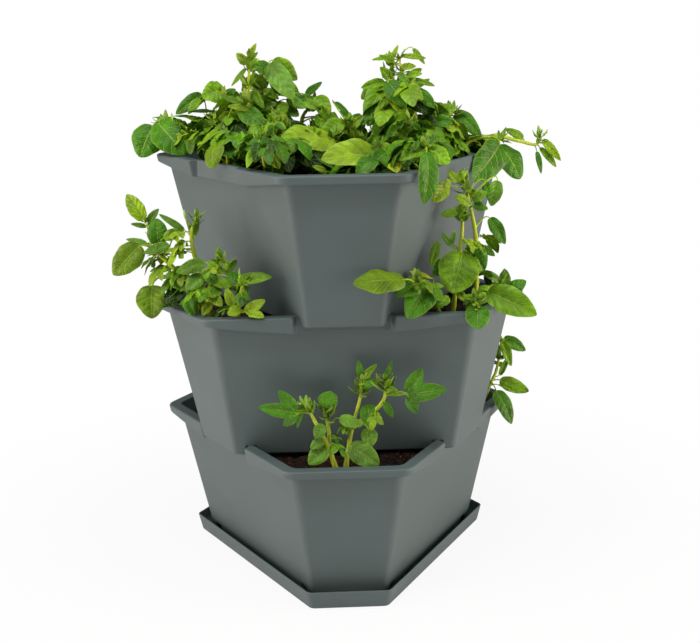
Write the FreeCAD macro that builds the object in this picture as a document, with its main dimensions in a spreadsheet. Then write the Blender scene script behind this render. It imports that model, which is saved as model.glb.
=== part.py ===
import FreeCAD, Part
import Sketcher
import math
import os

# A stacking planter tower: a saucer and three identical tapered pots with a
# truncated-triangle plan, each turned half a turn on the one below, so that the
# corners of the lower pot stay open as planting pockets. Each pot holds compost
# and potato plants.
# Frame: millimetres, +Z up, the front of the tower faces -Y, and the origin is
# at the centre of the saucer's underside.

DRIVING_SIZES = [
    ("tier_height", 232.0, "height of one pot, underside to rim"),
    ("nest_depth", 16.0, "how far a pot sinks into the one below"),
    ("rest_gap", 0.3, "gap left between a resting pot and the wall that carries it"),
    ("rim_short", 276.0, "centre to a short side's wall, at the rim"),
    ("rim_long", 209.0, "centre to a long side's wall, at the rim"),
    ("foot_short", 230.0, "centre to a short side's wall, at the underside"),
    ("foot_long", 163.0, "centre to a long side's wall, at the underside"),
    ("wall", 3.0, "thickness of a pot's walls"),
    ("base_thickness", 3.0, "thickness of a pot's floor"),
    ("rim_corner_radius", 20.0, "rounding of the wall's corners at the rim"),
    ("foot_corner_radius", 14.0, "rounding of the wall's corners at the underside"),
    ("flange_reach", 16.5, "how far the rolled flange stands out of the wall"),
    ("flange_corner_radius", 26.0, "rounding of the flange's corners"),
    ("flange_thickness", 3.0, "thickness of the flange's flat top"),
    ("lip_thickness", 2.5, "thickness of the lip that hangs from the flange"),
    ("lip_corner_drop", 12.5, "height of the lip at the corners"),
    ("lip_recess_drop", 26.5, "height of the lip beside the recess"),
    ("recess_half_width", 77.0, "half the width of the recess in a long side"),
    ("recess_depth", 10.0, "how far the recess lies behind the lip's face"),
    ("groove_gap", 1.0, "clearance each side of the wall that stands in a groove"),
    ("drain_radius", 5.0, "radius of a drain hole"),
    ("drain_inner_ring", 60.0, "radius of the inner ring of drain holes"),
    ("drain_outer_ring", 120.0, "radius of the outer ring of drain holes"),
    ("soil_drop", 24.0, "depth of the compost's surface below the rim"),
    ("soil_gap", 0.5, "clearance between the compost and the pot's wall"),
    ("saucer_short_reach", 28.0, "saucer's rim beyond the pot's foot, on a short side"),
    ("saucer_long_reach", 21.0, "saucer's rim beyond the pot's foot, on a long side"),
    ("saucer_short_lean", 6.0, "how far the saucer's short side leans out"),
    ("saucer_long_lean", 6.5, "how far the saucer's long side leans out"),
    ("saucer_height", 29.5, "height of the saucer"),
    ("saucer_wall", 3.0, "thickness of the saucer's wall"),
    ("saucer_floor", 3.0, "thickness of the saucer's floor"),
    ("saucer_corner_radius", 20.0, "rounding of the saucer's corners"),
    ("rib_height", 2.7, "height of the ribs that hold the pot off the saucer"),
    ("rib_length", 110.0, "length of a rib"),
    ("rib_width", 8.0, "width of a rib"),
    ("rib_ring", 100.0, "centre of the saucer to the middle of a rib"),
    ("cut_margin", 6.0, "how far a cutting solid runs past the face that it cuts"),
    ("root_depth", 12.0, "how deep a stem stands in the compost"),
    ("stem_foot_radius", 4.5, "radius of a stem at the compost"),
    ("stem_tip_radius", 2.5, "radius of a stem at its top"),
    ("stalk_radius", 1.3, "radius of the stalk between a stem and a leaf"),
    ("leaf_thickness", 1.6, "thickness of a leaf's blade"),
]

SIDES = 6
LONG_SIDE_TURNS = (0, 120, 240)
SHORT_SIDE_TURNS = (60, 180, 300)

doc = FreeCAD.newDocument("planter_tower")
sizes = doc.addObject("Spreadsheet::Sheet", "Sizes")
for row, (alias, number, meaning) in enumerate(DRIVING_SIZES, start=1):
    sizes.set("A%d" % row, alias)
    sizes.set("B%d" % row, str(number))
    sizes.set("C%d" % row, meaning)
    sizes.setAlias("B%d" % row, alias)
doc.recompute()


def short_at(height):
    """Expression for the distance to a short side's wall at a height."""
    return (
        "(Sizes.foot_short + (Sizes.rim_short - Sizes.foot_short)"
        " * (%s) / Sizes.tier_height)" % height
    )


def long_at(height):
    """Expression for the distance to a long side's wall at a height."""
    return (
        "(Sizes.foot_long + (Sizes.rim_long - Sizes.foot_long)"
        " * (%s) / Sizes.tier_height)" % height
    )


def number(expression):
    """The present value of an expression on the driving sizes."""
    result = sizes.evalExpression(expression)
    return float(getattr(result, "Value", result))


def outline(name, short_side, long_side, corner_radius, height):
    """Sketch of a truncated triangle with rounded corners, at a height.

    The sides are numbered anticlockwise from the front. Even ones are short,
    odd ones long, and each side's normal is 60 degrees on from the last.
    """
    sketch = doc.addObject("Sketcher::SketchObject", name)
    reach = [short_side if side % 2 == 0 else long_side for side in range(SIDES)]
    radius = number(corner_radius)
    normals = [math.radians(60 * side - 90) for side in range(SIDES)]

    def meeting(side, inset):
        """Where a side and the next one meet, both moved inwards by an inset."""
        first, second = normals[side], normals[(side + 1) % SIDES]
        near = number(reach[side]) - inset
        far = number(reach[(side + 1) % SIDES]) - inset
        area = math.sin(second - first)
        across = (near * math.sin(second) - far * math.sin(first)) / area
        along = (far * math.cos(first) - near * math.cos(second)) / area
        return FreeCAD.Vector(across, along, 0)

    trim = radius * math.tan(math.radians(30))
    for side in range(SIDES):
        along = FreeCAD.Vector(-math.sin(normals[side]), math.cos(normals[side]), 0)
        start = meeting(side - 1, 0) + along * trim
        end = meeting(side, 0) - along * trim
        sketch.addGeometry(Part.LineSegment(start, end))
    for side in range(SIDES):
        circle = Part.Circle(meeting(side, radius), FreeCAD.Vector(0, 0, 1), radius)
        first = normals[side]
        sketch.addGeometry(Part.ArcOfCircle(circle, first, first + math.radians(60)))

    rules = []
    for side in range(SIDES):
        arc, following = SIDES + side, (side + 1) % SIDES
        rules.append(Sketcher.Constraint("Tangent", side, 2, arc, 1))
        rules.append(Sketcher.Constraint("Tangent", arc, 2, following, 1))
    for arc in range(SIDES + 1, 2 * SIDES):
        rules.append(Sketcher.Constraint("Equal", SIDES, arc))
    rules.append(Sketcher.Constraint("Horizontal", 0))
    rules.append(Sketcher.Constraint("Angle", 1, math.radians(60)))
    rules.append(Sketcher.Constraint("Angle", 2, math.radians(120)))
    for side in range(3):
        rules.append(Sketcher.Constraint("Parallel", side, side + 3))
    sketch.addConstraint(rules)
    for side in range(SIDES):
        rule = Sketcher.Constraint("Distance", -1, 1, side, number(reach[side]))
        index = sketch.addConstraint(rule)
        sketch.renameConstraint(index, "side_%d" % side)
        sketch.setExpression("Constraints.side_%d" % side, reach[side])
    index = sketch.addConstraint(Sketcher.Constraint("Radius", SIDES, radius))
    sketch.renameConstraint(index, "corner")
    sketch.setExpression("Constraints.corner", corner_radius)
    sketch.setExpression(".Placement.Base.z", height)
    return sketch


def tapered(name, lower, upper):
    """Solid between two outlines, with flat leaning sides."""
    solid = doc.addObject("Part::Loft", name)
    solid.Sections = [lower, upper]
    solid.Solid = True
    solid.Ruled = True
    return solid


def raised(name, sketch, height):
    """Upright solid on an outline."""
    solid = doc.addObject("Part::Extrusion", name)
    solid.Base = sketch
    solid.DirMode = "Custom"
    solid.Dir = FreeCAD.Vector(0, 0, 1)
    solid.Solid = True
    solid.setExpression("LengthFwd", height)
    return solid


def block(name, low, high, bottom, top, turn):
    """Solid with a rectangle at its bottom and another at its top.

    Each rectangle is (left, right, near, far), with far pointing away from the
    pot's axis, and the whole is turned about that axis.
    """
    solid = doc.addObject("Part::Wedge", name)
    for names, rectangle in (
        (("Xmin", "Xmax", "Zmax", "Zmin"), low),
        (("X2min", "X2max", "Z2max", "Z2min"), high),
    ):
        left, right, near, far = rectangle
        solid.setExpression(names[0], left)
        solid.setExpression(names[1], right)
        solid.setExpression(names[2], "-(%s)" % near)
        solid.setExpression(names[3], "-(%s)" % far)
    solid.setExpression("Ymin", bottom)
    solid.setExpression("Ymax", top)
    upright = FreeCAD.Rotation(FreeCAD.Vector(1, 0, 0), 90)
    about_axis = FreeCAD.Rotation(FreeCAD.Vector(0, 0, 1), turn)
    solid.Placement = FreeCAD.Placement(FreeCAD.Vector(), about_axis * upright)
    return solid


def joined(name, solids):
    result = doc.addObject("Part::MultiFuse", name)
    result.Shapes = solids
    return result


def cut(name, base, tool):
    result = doc.addObject("Part::Cut", name)
    result.Base = base
    result.Tool = tool
    return result


# Heights and distances that several features of a pot share
RIM = "Sizes.tier_height"
LEDGE = "(Sizes.tier_height - Sizes.lip_recess_drop)"
LIP_FACE = "(Sizes.rim_long + Sizes.flange_reach)"
RECESS_FACE = "(%s - Sizes.recess_depth)" % LIP_FACE
WALL_AT_REST = long_at("Sizes.tier_height - Sizes.nest_depth")
GROOVE_TOP = "(Sizes.nest_depth + Sizes.rest_gap)"
GROOVE_INNER = "(min(%s; %s) - Sizes.wall - Sizes.groove_gap)" % (WALL_AT_REST, RECESS_FACE)
GROOVE_OUTER = "(%s + Sizes.groove_gap)" % RECESS_FACE
PAST_CORNER = "(2 * Sizes.recess_half_width)"


def walls_round_recesses_and_grooves(name, grow):
    """What a pot's hollow leaves standing: the walls behind the three recesses
    and over the three grooves, each grown by a clearance."""
    side = "(Sizes.recess_half_width + Sizes.wall + %s)" % grow
    backing = ("-" + side, side, "%s - Sizes.wall - %s" % (RECESS_FACE, grow), LIP_FACE)
    casing = (
        "-" + PAST_CORNER,
        PAST_CORNER,
        "%s - Sizes.wall - %s" % (GROOVE_INNER, grow),
        "%s + Sizes.wall + %s" % (GROOVE_OUTER, grow),
    )
    solids = []
    for turn in LONG_SIDE_TURNS:
        solids.append(block(
            "%s_recess_%d" % (name, turn),
            backing,
            backing,
            "%s - Sizes.wall - %s" % (LEDGE, grow),
            RIM,
            turn,
        ))
    for turn in SHORT_SIDE_TURNS:
        solids.append(block(
            "%s_groove_%d" % (name, turn),
            casing,
            casing,
            "-Sizes.cut_margin",
            "%s + Sizes.wall + %s" % (GROOVE_TOP, grow),
            turn,
        ))
    return joined(name, solids)


def rolled_flange():
    """The flange round the rim: a flat top and a hanging lip, whose lower edge
    falls from the corners towards the recesses. Behind each recess the lip is
    set back, and a rib closes the flange at either end of it."""
    short_reach = "Sizes.rim_short + Sizes.flange_reach"
    long_reach = "Sizes.rim_long + Sizes.flange_reach"
    outside = outline(
        "flange_outline", short_reach, long_reach, "Sizes.flange_corner_radius", LEDGE
    )
    inside = outline(
        "flange_hollow_outline",
        short_reach + " - Sizes.lip_thickness",
        long_reach + " - Sizes.lip_thickness",
        "Sizes.flange_corner_radius - Sizes.lip_thickness",
        LEDGE,
    )
    shell = cut(
        "flange_shell",
        raised("flange_block", outside, "Sizes.lip_recess_drop"),
        raised("flange_hollow", inside, "Sizes.lip_recess_drop - Sizes.flange_thickness"),
    )
    side = "(Sizes.recess_half_width + Sizes.lip_thickness)"
    ribs_reach = ("-" + side, side, long_at(LEDGE), LIP_FACE)
    hollow_reach = (
        "-Sizes.recess_half_width",
        "Sizes.recess_half_width",
        long_at(LEDGE) + " - Sizes.wall",
        "%s - Sizes.lip_thickness" % RECESS_FACE,
    )
    frames, hollows = [], []
    for turn in LONG_SIDE_TURNS:
        frames.append(block("recess_frame_%d" % turn, ribs_reach, ribs_reach, LEDGE, RIM, turn))
        hollows.append(block(
            "recess_hollow_%d" % turn,
            hollow_reach,
            hollow_reach,
            "%s - Sizes.cut_margin" % LEDGE,
            "Sizes.tier_height - Sizes.flange_thickness",
            turn,
        ))
    corner = "((Sizes.rim_short + Sizes.flange_reach - (%s) / 2) / cos(30))" % long_reach
    beyond = "(%s + 4 * Sizes.flange_corner_radius)" % corner
    near = "(%s) / 2 - Sizes.cut_margin" % short_reach
    far = "%s + Sizes.cut_margin" % long_reach
    trimmings = []
    for turn in LONG_SIDE_TURNS:
        trimmings.append(block(
            "lip_trim_right_%d" % turn,
            ("Sizes.recess_half_width", beyond, near, far),
            (corner, beyond, near, far),
            LEDGE,
            "Sizes.tier_height - Sizes.lip_corner_drop",
            turn,
        ))
        trimmings.append(block(
            "lip_trim_left_%d" % turn,
            ("-" + beyond, "-Sizes.recess_half_width", near, far),
            ("-" + beyond, "-" + corner, near, far),
            LEDGE,
            "Sizes.tier_height - Sizes.lip_corner_drop",
            turn,
        ))
    framed = joined("flange_and_frames", [shell] + frames)
    return cut("flange", framed, joined("lip_trimmings", trimmings + hollows))


def recesses_and_grooves():
    """What is cut out of a pot's walls: a recess in each long side, where the
    next pot's corner hangs, and a groove under each corner, which takes the
    wall behind the lower pot's recess."""
    far = "(Sizes.rim_long + Sizes.flange_reach + Sizes.cut_margin)"
    half = "Sizes.recess_half_width"
    solids = []
    for turn in LONG_SIDE_TURNS:
        solids.append(block(
            "recess_%d" % turn,
            ("-" + half, half, RECESS_FACE, far),
            ("-" + half, half, RECESS_FACE, far),
            LEDGE,
            RIM,
            turn,
        ))
    for turn in SHORT_SIDE_TURNS:
        solids.append(block(
            "groove_%d" % turn,
            ("-" + PAST_CORNER, PAST_CORNER, GROOVE_INNER, GROOVE_OUTER),
            ("-" + PAST_CORNER, PAST_CORNER, GROOVE_INNER, GROOVE_OUTER),
            "0 * Sizes.nest_depth",
            GROOVE_TOP,
            turn,
        ))
    return solids


def drain_holes():
    """One hole in the middle of the floor and two rings of six."""
    places = [(0, 0)]
    places += [("drain_inner_ring", 60 * step) for step in range(6)]
    places += [("drain_outer_ring", 60 * step) for step in range(6)]
    holes = []
    for count, (ring, turn) in enumerate(places):
        hole = doc.addObject("Part::Cylinder", "drain_%d" % count)
        hole.setExpression("Radius", "Sizes.drain_radius")
        hole.setExpression("Height", "Sizes.base_thickness + 2 * Sizes.cut_margin")
        hole.setExpression(".Placement.Base.z", "-Sizes.cut_margin")
        if ring:
            hole.setExpression(".Placement.Base.x", "Sizes.%s * cos(%d)" % (ring, turn))
            hole.setExpression(".Placement.Base.y", "Sizes.%s * sin(%d)" % (ring, turn))
        holes.append(hole)
    return holes


def pot():
    """One pot, with its underside at height zero and a short side to the front."""
    body = tapered(
        "pot_outside",
        outline(
            "pot_foot_outline", "Sizes.foot_short", "Sizes.foot_long",
            "Sizes.foot_corner_radius", "0 * Sizes.wall",
        ),
        outline(
            "pot_rim_outline", "Sizes.rim_short", "Sizes.rim_long",
            "Sizes.rim_corner_radius", RIM,
        ),
    )
    hollow = tapered(
        "pot_inside",
        outline(
            "hollow_foot_outline",
            short_at("Sizes.base_thickness") + " - Sizes.wall",
            long_at("Sizes.base_thickness") + " - Sizes.wall",
            "Sizes.foot_corner_radius - Sizes.wall",
            "Sizes.base_thickness",
        ),
        outline(
            "hollow_rim_outline",
            "Sizes.rim_short - Sizes.wall",
            "Sizes.rim_long - Sizes.wall",
            "Sizes.rim_corner_radius - Sizes.wall",
            RIM,
        ),
    )
    kept = walls_round_recesses_and_grooves("kept_walls", "0 * Sizes.wall")
    hollow = cut("pot_hollow", hollow, kept)
    body = joined("pot_block", [body, rolled_flange()])
    removed = joined("pot_cuts", [hollow] + recesses_and_grooves() + drain_holes())
    return cut("pot", body, removed)


def compost():
    """The compost that fills one pot, up to its level below the rim."""
    level = "(Sizes.tier_height - Sizes.soil_drop)"
    inset = " - Sizes.wall - Sizes.soil_gap"
    fill = tapered(
        "compost_block",
        outline(
            "compost_foot_outline",
            short_at("Sizes.base_thickness") + inset,
            long_at("Sizes.base_thickness") + inset,
            "Sizes.foot_corner_radius" + inset,
            "Sizes.base_thickness",
        ),
        outline(
            "compost_top_outline",
            short_at(level) + inset,
            long_at(level) + inset,
            "Sizes.rim_corner_radius" + inset,
            level,
        ),
    )
    kept = walls_round_recesses_and_grooves("walls_in_compost", "Sizes.soil_gap")
    return cut("compost", fill, kept)


def saucer():
    """The saucer: a shallow tray with three ribs under the lowest pot."""
    rim_short = "(Sizes.foot_short + Sizes.saucer_short_reach)"
    rim_long = "(Sizes.foot_long + Sizes.saucer_long_reach)"
    foot_short = rim_short + " - Sizes.saucer_short_lean"
    foot_long = rim_long + " - Sizes.saucer_long_lean"
    outside = tapered(
        "saucer_outside",
        outline(
            "saucer_foot_outline", foot_short, foot_long,
            "Sizes.saucer_corner_radius", "0 * Sizes.saucer_wall",
        ),
        outline(
            "saucer_rim_outline", rim_short, rim_long,
            "Sizes.saucer_corner_radius", "Sizes.saucer_height",
        ),
    )
    inset = " - Sizes.saucer_wall"
    inside = tapered(
        "saucer_inside",
        outline(
            "saucer_floor_outline",
            foot_short + inset,
            foot_long + inset,
            "Sizes.saucer_corner_radius" + inset,
            "Sizes.saucer_floor",
        ),
        outline(
            "saucer_mouth_outline",
            rim_short + inset,
            rim_long + inset,
            "Sizes.saucer_corner_radius" + inset,
            "Sizes.saucer_height",
        ),
    )
    tray = cut("saucer_tray", outside, inside)
    ribs = []
    rectangle = (
        "-Sizes.rib_width / 2",
        "Sizes.rib_width / 2",
        "Sizes.rib_ring - Sizes.rib_length / 2",
        "Sizes.rib_ring + Sizes.rib_length / 2",
    )
    for turn in SHORT_SIDE_TURNS:
        ribs.append(block(
            "saucer_rib_%d" % turn,
            rectangle,
            rectangle,
            "Sizes.saucer_floor / 2",
            "Sizes.saucer_floor + Sizes.rib_height",
            turn,
        ))
    return joined("saucer", [tray] + ribs)


def placed(label, master, level, turn):
    """A copy of a master solid at its level in the tower, turned about the axis."""
    copy = doc.addObject("Part::Compound", label)
    copy.Label = label
    copy.Links = [master]
    turned = FreeCAD.Rotation(FreeCAD.Vector(0, 0, 1), turn)
    copy.Placement = FreeCAD.Placement(FreeCAD.Vector(), turned)
    copy.setExpression(".Placement.Base.z", level)
    return copy


PITCH = "(Sizes.tier_height - Sizes.nest_depth)"
FIRST_LEVEL = "(Sizes.saucer_floor + Sizes.rib_height + Sizes.rest_gap)"
TIERS = [
    ("bottom", FIRST_LEVEL, 0),
    ("middle", "%s + %s" % (FIRST_LEVEL, PITCH), 180),
    ("top", "%s + 2 * %s" % (FIRST_LEVEL, PITCH), 0),
]

# Which way a leaf's upper face looks
FRONT = (0, -1, 0.4)
UP = (0, -0.3, 1)
SKYWARD = (0, -0.7, 0.7)
LEFT = (-0.6, -0.8, 0.3)
RIGHT = (0.5, -0.9, 0.3)

# The plants. Each point is (x, y, z) from the middle of the plant's pocket, at
# the compost's surface. A stem is a list of points from its root up, and a leaf
# is (foot of the blade, tip of the blade, width, facing).
TOP_LEFT_STEMS = [
    [(-165, 10, 0), (-195, 5, 35), (-240, 20, 68), (-285, 45, 78)],
    [(-160, 25, 0), (-172, 25, 80), (-180, 30, 122)],
    [(-170, -60, 0), (-170, -90, 45), (-178, -108, 60)],
]
TOP_LEFT_LEAVES = [
    ((-285, 38, 82), (-238, 5, 42), 58, FRONT),
    ((-292, 52, 78), (-328, 40, 30), 46, FRONT),
    ((-250, 85, 84), (-300, 78, 92), 26, UP),
    ((-210, 40, 126), (-255, 15, 94), 24, FRONT),
    ((-195, 30, 124), (-212, 25, 144), 20, FRONT),
    ((-186, 15, 122), (-208, -8, 108), 30, FRONT),
    ((-182, 42, 130), (-190, 52, 146), 16, FRONT),
    ((-174, 15, 118), (-152, 0, 130), 18, FRONT),
    ((-178, 8, 84), (-238, -12, 72), 26, UP),
    ((-190, -60, 62), (-230, -78, 58), 18, UP),
    ((-184, -114, 60), (-196, -142, 20), 32, LEFT),
    ((-170, -118, 56), (-150, -150, 38), 18, FRONT),
    ((-154, -102, 84), (-170, -132, 62), 30, FRONT),
]
TALL_LEFT_STEMS = [
    [(-120, -80, 0), (-135, -90, 70), (-135, -95, 125), (-130, -100, 180)],
    [(-105, -60, 0), (-115, -60, 100), (-110, -60, 152)],
    [(-105, -150, 0), (-114, -184, 50), (-115, -190, 62)],
]
TALL_LEFT_LEAVES = [
    ((-120, -194, 62), (-136, -220, 34), 26, LEFT),
    ((-108, -194, 62), (-90, -226, 32), 28, FRONT),
    ((-136, -112, 102), (-108, -142, 82), 30, FRONT),
    ((-118, -64, 108), (-85, -80, 112), 18, UP),
    ((-132, -102, 180), (-150, -110, 192), 12, FRONT),
    ((-130, -100, 184), (-120, -100, 204), 8, FRONT),
    ((-138, -100, 158), (-160, -110, 142), 8, FRONT),
    ((-120, -74, 148), (-102, -66, 172), 20, FRONT),
    ((-106, -66, 150), (-66, -100, 116), 34, FRONT),
    ((-102, -50, 156), (-62, -30, 158), 24, FRONT),
    ((-110, -56, 126), (-78, -66, 130), 20, FRONT),
]
CENTRE_STEMS = [
    [(-55, -60, 0), (-55, -60, 80), (-36, -60, 108)],
    [(25, -105, 0), (25, -118, 50), (12, -120, 84)],
    [(40, -165, 0), (50, -192, 38), (52, -206, 44)],
    [(-50, -115, 0), (-30, -143, 50)],
]
CENTRE_LEAVES = [
    ((-48, -60, 116), (-20, -60, 140), 10, FRONT),
    ((-32, -64, 108), (-8, -80, 94), 26, FRONT),
    ((-50, -60, 98), (-66, -72, 120), 20, FRONT),
    ((-26, -152, 54), (-85, -188, 76), 42, SKYWARD),
    ((46, -210, 46), (-25, -244, 34), 42, SKYWARD),
    ((8, -124, 86), (-20, -136, 66), 24, FRONT),
    ((20, -96, 90), (-8, -90, 104), 10, FRONT),
    ((-60, -168, 46), (-28, -200, 30), 20, FRONT),
    ((64, -222, 48), (78, -256, 34), 20, SKYWARD),
    ((62, -202, 54), (74, -204, 74), 18, FRONT),
]
TALL_RIGHT_STEMS = [
    [(120, -60, 0), (120, -80, 80), (110, -80, 120), (95, -80, 174)],
    [(100, -40, 0), (95, -40, 95), (90, -40, 140), (85, -46, 172)],
    [(115, -165, 0), (118, -212, 48), (120, -236, 54)],
]
TALL_RIGHT_LEAVES = [
    ((82, -54, 178), (55, -66, 174), 9, FRONT),
    ((97, -82, 178), (135, -84, 172), 12, FRONT),
    ((72, -42, 138), (42, -46, 116), 24, FRONT),
    ((76, -58, 138), (48, -88, 88), 30, FRONT),
    ((88, -86, 142), (106, -112, 108), 32, FRONT),
    ((82, -52, 146), (65, -56, 162), 12, FRONT),
    ((118, -82, 132), (150, -84, 110), 15, FRONT),
    ((112, -76, 148), (132, -72, 158), 12, FRONT),
    ((106, -98, 92), (78, -138, 62), 38, FRONT),
    ((120, -258, 52), (112, -280, -18), 32, RIGHT),
    ((110, -242, 52), (82, -250, 42), 20, SKYWARD),
    ((128, -240, 52), (152, -246, 36), 24, SKYWARD),
    ((122, -232, 60), (132, -222, 76), 16, FRONT),
]
TOP_RIGHT_STEMS = [
    [(185, 10, 0), (215, 10, 38), (252, 10, 46), (272, 20, 42)],
    [(160, 20, 0), (170, 20, 60), (195, 20, 90)],
    [(232, 70, 0), (262, 80, 40), (310, 92, 32), (345, 100, 24), (352, 100, 42)],
]
TOP_RIGHT_LEAVES = [
    ((172, 24, 66), (160, 32, 100), 20, FRONT),
    ((182, 14, 88), (202, 8, 104), 22, FRONT),
    ((184, 2, 82), (166, -20, 64), 25, FRONT),
    ((202, 18, 88), (238, 6, 52), 20, FRONT),
    ((216, 38, 54), (156, 14, 50), 16, UP),
    ((272, -16, 42), (228, -74, -16), 48, RIGHT),
    ((280, 8, 40), (314, -18, -16), 46, RIGHT),
    ((284, 62, 46), (240, 58, 54), 20, UP),
    ((330, 96, 36), (298, 92, 54), 13, FRONT),
    ((357, 100, 32), (386, 86, -4), 15, FRONT),
    ((350, 104, 16), (378, 98, -14), 10, FRONT),
    ((342, 92, 10), (350, 82, -20), 10, FRONT),
]
MIDDLE_LEFT_STEMS = [
    [(-26, -16, 0), (-55, -15, 65), (-85, -10, 105), (-108, 0, 152)],
    [(-16, -28, 0), (-45, -32, 60), (-75, -32, 95), (-98, -30, 118)],
    [(-5, -42, 0), (-30, -52, 100), (-35, -56, 140), (-27, -56, 168)],
    [(-10, -60, 0), (-12, -68, 50), (0, -75, 90), (10, -76, 104)],
    [(28, -76, 0), (35, -92, 50), (44, -100, 80)],
]
MIDDLE_LEFT_LEAVES = [
    ((-110, 0, 156), (-136, 10, 196), 27, FRONT),
    ((-104, -32, 118), (-146, -42, 86), 44, FRONT),
    ((-100, -24, 56), (-102, -38, 8), 46, FRONT),
    ((-86, -18, 124), (-90, -10, 160), 28, FRONT),
    ((-72, -24, 134), (-46, -26, 142), 17, FRONT),
    ((-78, -40, 104), (-112, -52, 92), 16, FRONT),
    ((-52, -44, 148), (-82, -42, 170), 9, FRONT),
    ((-104, 4, 150), (-90, 8, 172), 11, FRONT),
    ((-34, -54, 142), (-20, -48, 166), 7, FRONT),
    ((-112, -8, 130), (-136, -4, 134), 8, FRONT),
    ((-20, -72, 100), (-56, -84, 92), 18, FRONT),
    ((-20, -76, 78), (-46, -90, 66), 22, FRONT),
    ((0, -82, 60), (-28, -96, 54), 18, SKYWARD),
    ((-52, -36, 50), (-82, -48, 46), 20, SKYWARD),
    ((-46, -52, 40), (-78, -70, 36), 17, UP),
    ((-30, -66, 48), (-36, -86, 32), 17, FRONT),
    ((50, -102, 84), (86, -112, 86), 13, SKYWARD),
    ((12, -78, 104), (34, -84, 82), 15, FRONT),
    ((-2, -74, 94), (-16, -72, 116), 13, FRONT),
    ((40, -96, 54), (70, -114, 38), 18, FRONT),
    ((28, -96, 50), (12, -114, 36), 15, FRONT),
]
MIDDLE_RIGHT_STEMS = [
    [(-20, -40, 0), (-10, -42, 90), (-5, -42, 135), (-5, -38, 165)],
    [(20, -20, 0), (20, -20, 110), (10, -22, 170), (-2, -24, 216)],
    [(-35, -58, 0), (-60, -84, 62), (-86, -124, 74)],
    [(20, -8, 0), (45, 0, 38), (62, 6, 42)],
    [(8, -50, 0), (8, -90, 36), (6, -108, 42)],
]
MIDDLE_RIGHT_LEAVES = [
    ((-98, -144, 76), (-176, -172, 70), 34, SKYWARD),
    ((-68, -96, 64), (-118, -136, 48), 22, SKYWARD),
    ((-56, -92, 58), (-90, -130, 24), 36, FRONT),
    ((-10, -54, 94), (-26, -82, 50), 54, FRONT),
    ((-38, -58, 96), (-54, -72, 66), 18, FRONT),
    ((0, -36, 96), (32, -28, 118), 34, FRONT),
    ((4, -44, 88), (36, -44, 76), 18, SKYWARD),
    ((-52, -76, 80), (-88, -100, 78), 14, UP),
    ((-44, -46, 122), (-56, -66, 84), 14, FRONT),
    ((-8, -26, 212), (-42, -54, 184), 20, RIGHT),
    ((-4, -26, 220), (-16, -38, 230), 10, FRONT),
    ((6, -26, 184), (-20, -38, 198), 13, FRONT),
    ((12, -20, 174), (30, -20, 198), 16, FRONT),
    ((-6, -40, 166), (-18, -44, 188), 12, FRONT),
    ((34, -10, 206), (42, -10, 166), 24, FRONT),
    ((14, -18, 166), (32, -12, 160), 10, FRONT),
    ((36, -10, 144), (60, -20, 108), 22, FRONT),
    ((-8, -40, 156), (-42, -50, 160), 13, FRONT),
    ((76, -4, 50), (122, -42, 14), 48, SKYWARD),
    ((40, -6, 40), (4, -34, 34), 22, SKYWARD),
    ((6, -114, 40), (8, -136, 4), 34, FRONT),
    ((70, 10, 46), (104, 12, 38), 18, UP),
    ((58, 10, 46), (76, 20, 66), 13, FRONT),
]
SMALL_STEMS = [
    [(-12, -14, 0), (-25, -6, 35), (-26, 0, 65), (-34, 3, 100)],
    [(-4, -14, 0), (3, -2, 32), (10, 5, 65), (22, 8, 108), (26, 6, 138)],
    [(10, 5, 65), (42, 0, 90), (58, -4, 112), (60, -5, 140)],
    [(-25, -6, 35), (-42, -8, 70), (-60, -6, 108)],
]
SMALL_LEAVES = [
    ((-76, -14, 96), (-130, -24, 110), 24, FRONT),
    ((-76, -12, 100), (-100, -15, 132), 21, FRONT),
    ((-76, -16, 92), (-94, -30, 82), 17, FRONT),
    ((-64, -6, 108), (-74, -14, 72), 9, FRONT),
    ((-14, 2, 108), (-42, -6, 116), 28, FRONT),
    ((-8, -4, 82), (24, -16, 74), 20, FRONT),
    ((34, 4, 98), (36, -14, 70), 28, FRONT),
    ((34, 0, 62), (36, -16, 40), 27, FRONT),
    ((8, -8, 38), (48, -30, 16), 38, FRONT),
    ((-36, -8, 74), (-46, -20, 56), 22, FRONT),
    ((-36, -10, 52), (-54, -24, 42), 18, FRONT),
    ((-32, -8, 38), (-58, -30, 20), 31, FRONT),
    ((26, 4, 142), (48, 2, 164), 12, FRONT),
    ((24, 4, 142), (20, 4, 170), 12, FRONT),
    ((28, 2, 134), (52, -2, 138), 14, FRONT),
    ((60, -6, 142), (70, -6, 170), 9, FRONT),
    ((62, -8, 130), (80, -14, 120), 12, FRONT),
    ((58, -10, 108), (70, -18, 86), 12, FRONT),
    ((94, -14, 120), (150, -24, 130), 28, FRONT),
    ((94, -12, 124), (114, -14, 160), 25, FRONT),
    ((94, -16, 116), (104, -28, 94), 20, FRONT),
]
LOW_RIGHT_STEMS = [
    [(60, -35, 0), (76, -35, 34), (90, -30, 64), (98, -30, 114)],
]
LOW_RIGHT_LEAVES = [
    ((100, -30, 118), (114, -42, 74), 20, FRONT),
    ((104, -26, 120), (142, -28, 98), 24, FRONT),
    ((98, -34, 46), (146, -44, 28), 27, FRONT),
    ((80, -96, 44), (102, -120, -6), 34, RIGHT),
    ((92, -40, 40), (126, -44, 26), 12, UP),
    ((96, -32, 56), (112, -26, 88), 12, FRONT),
]

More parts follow.
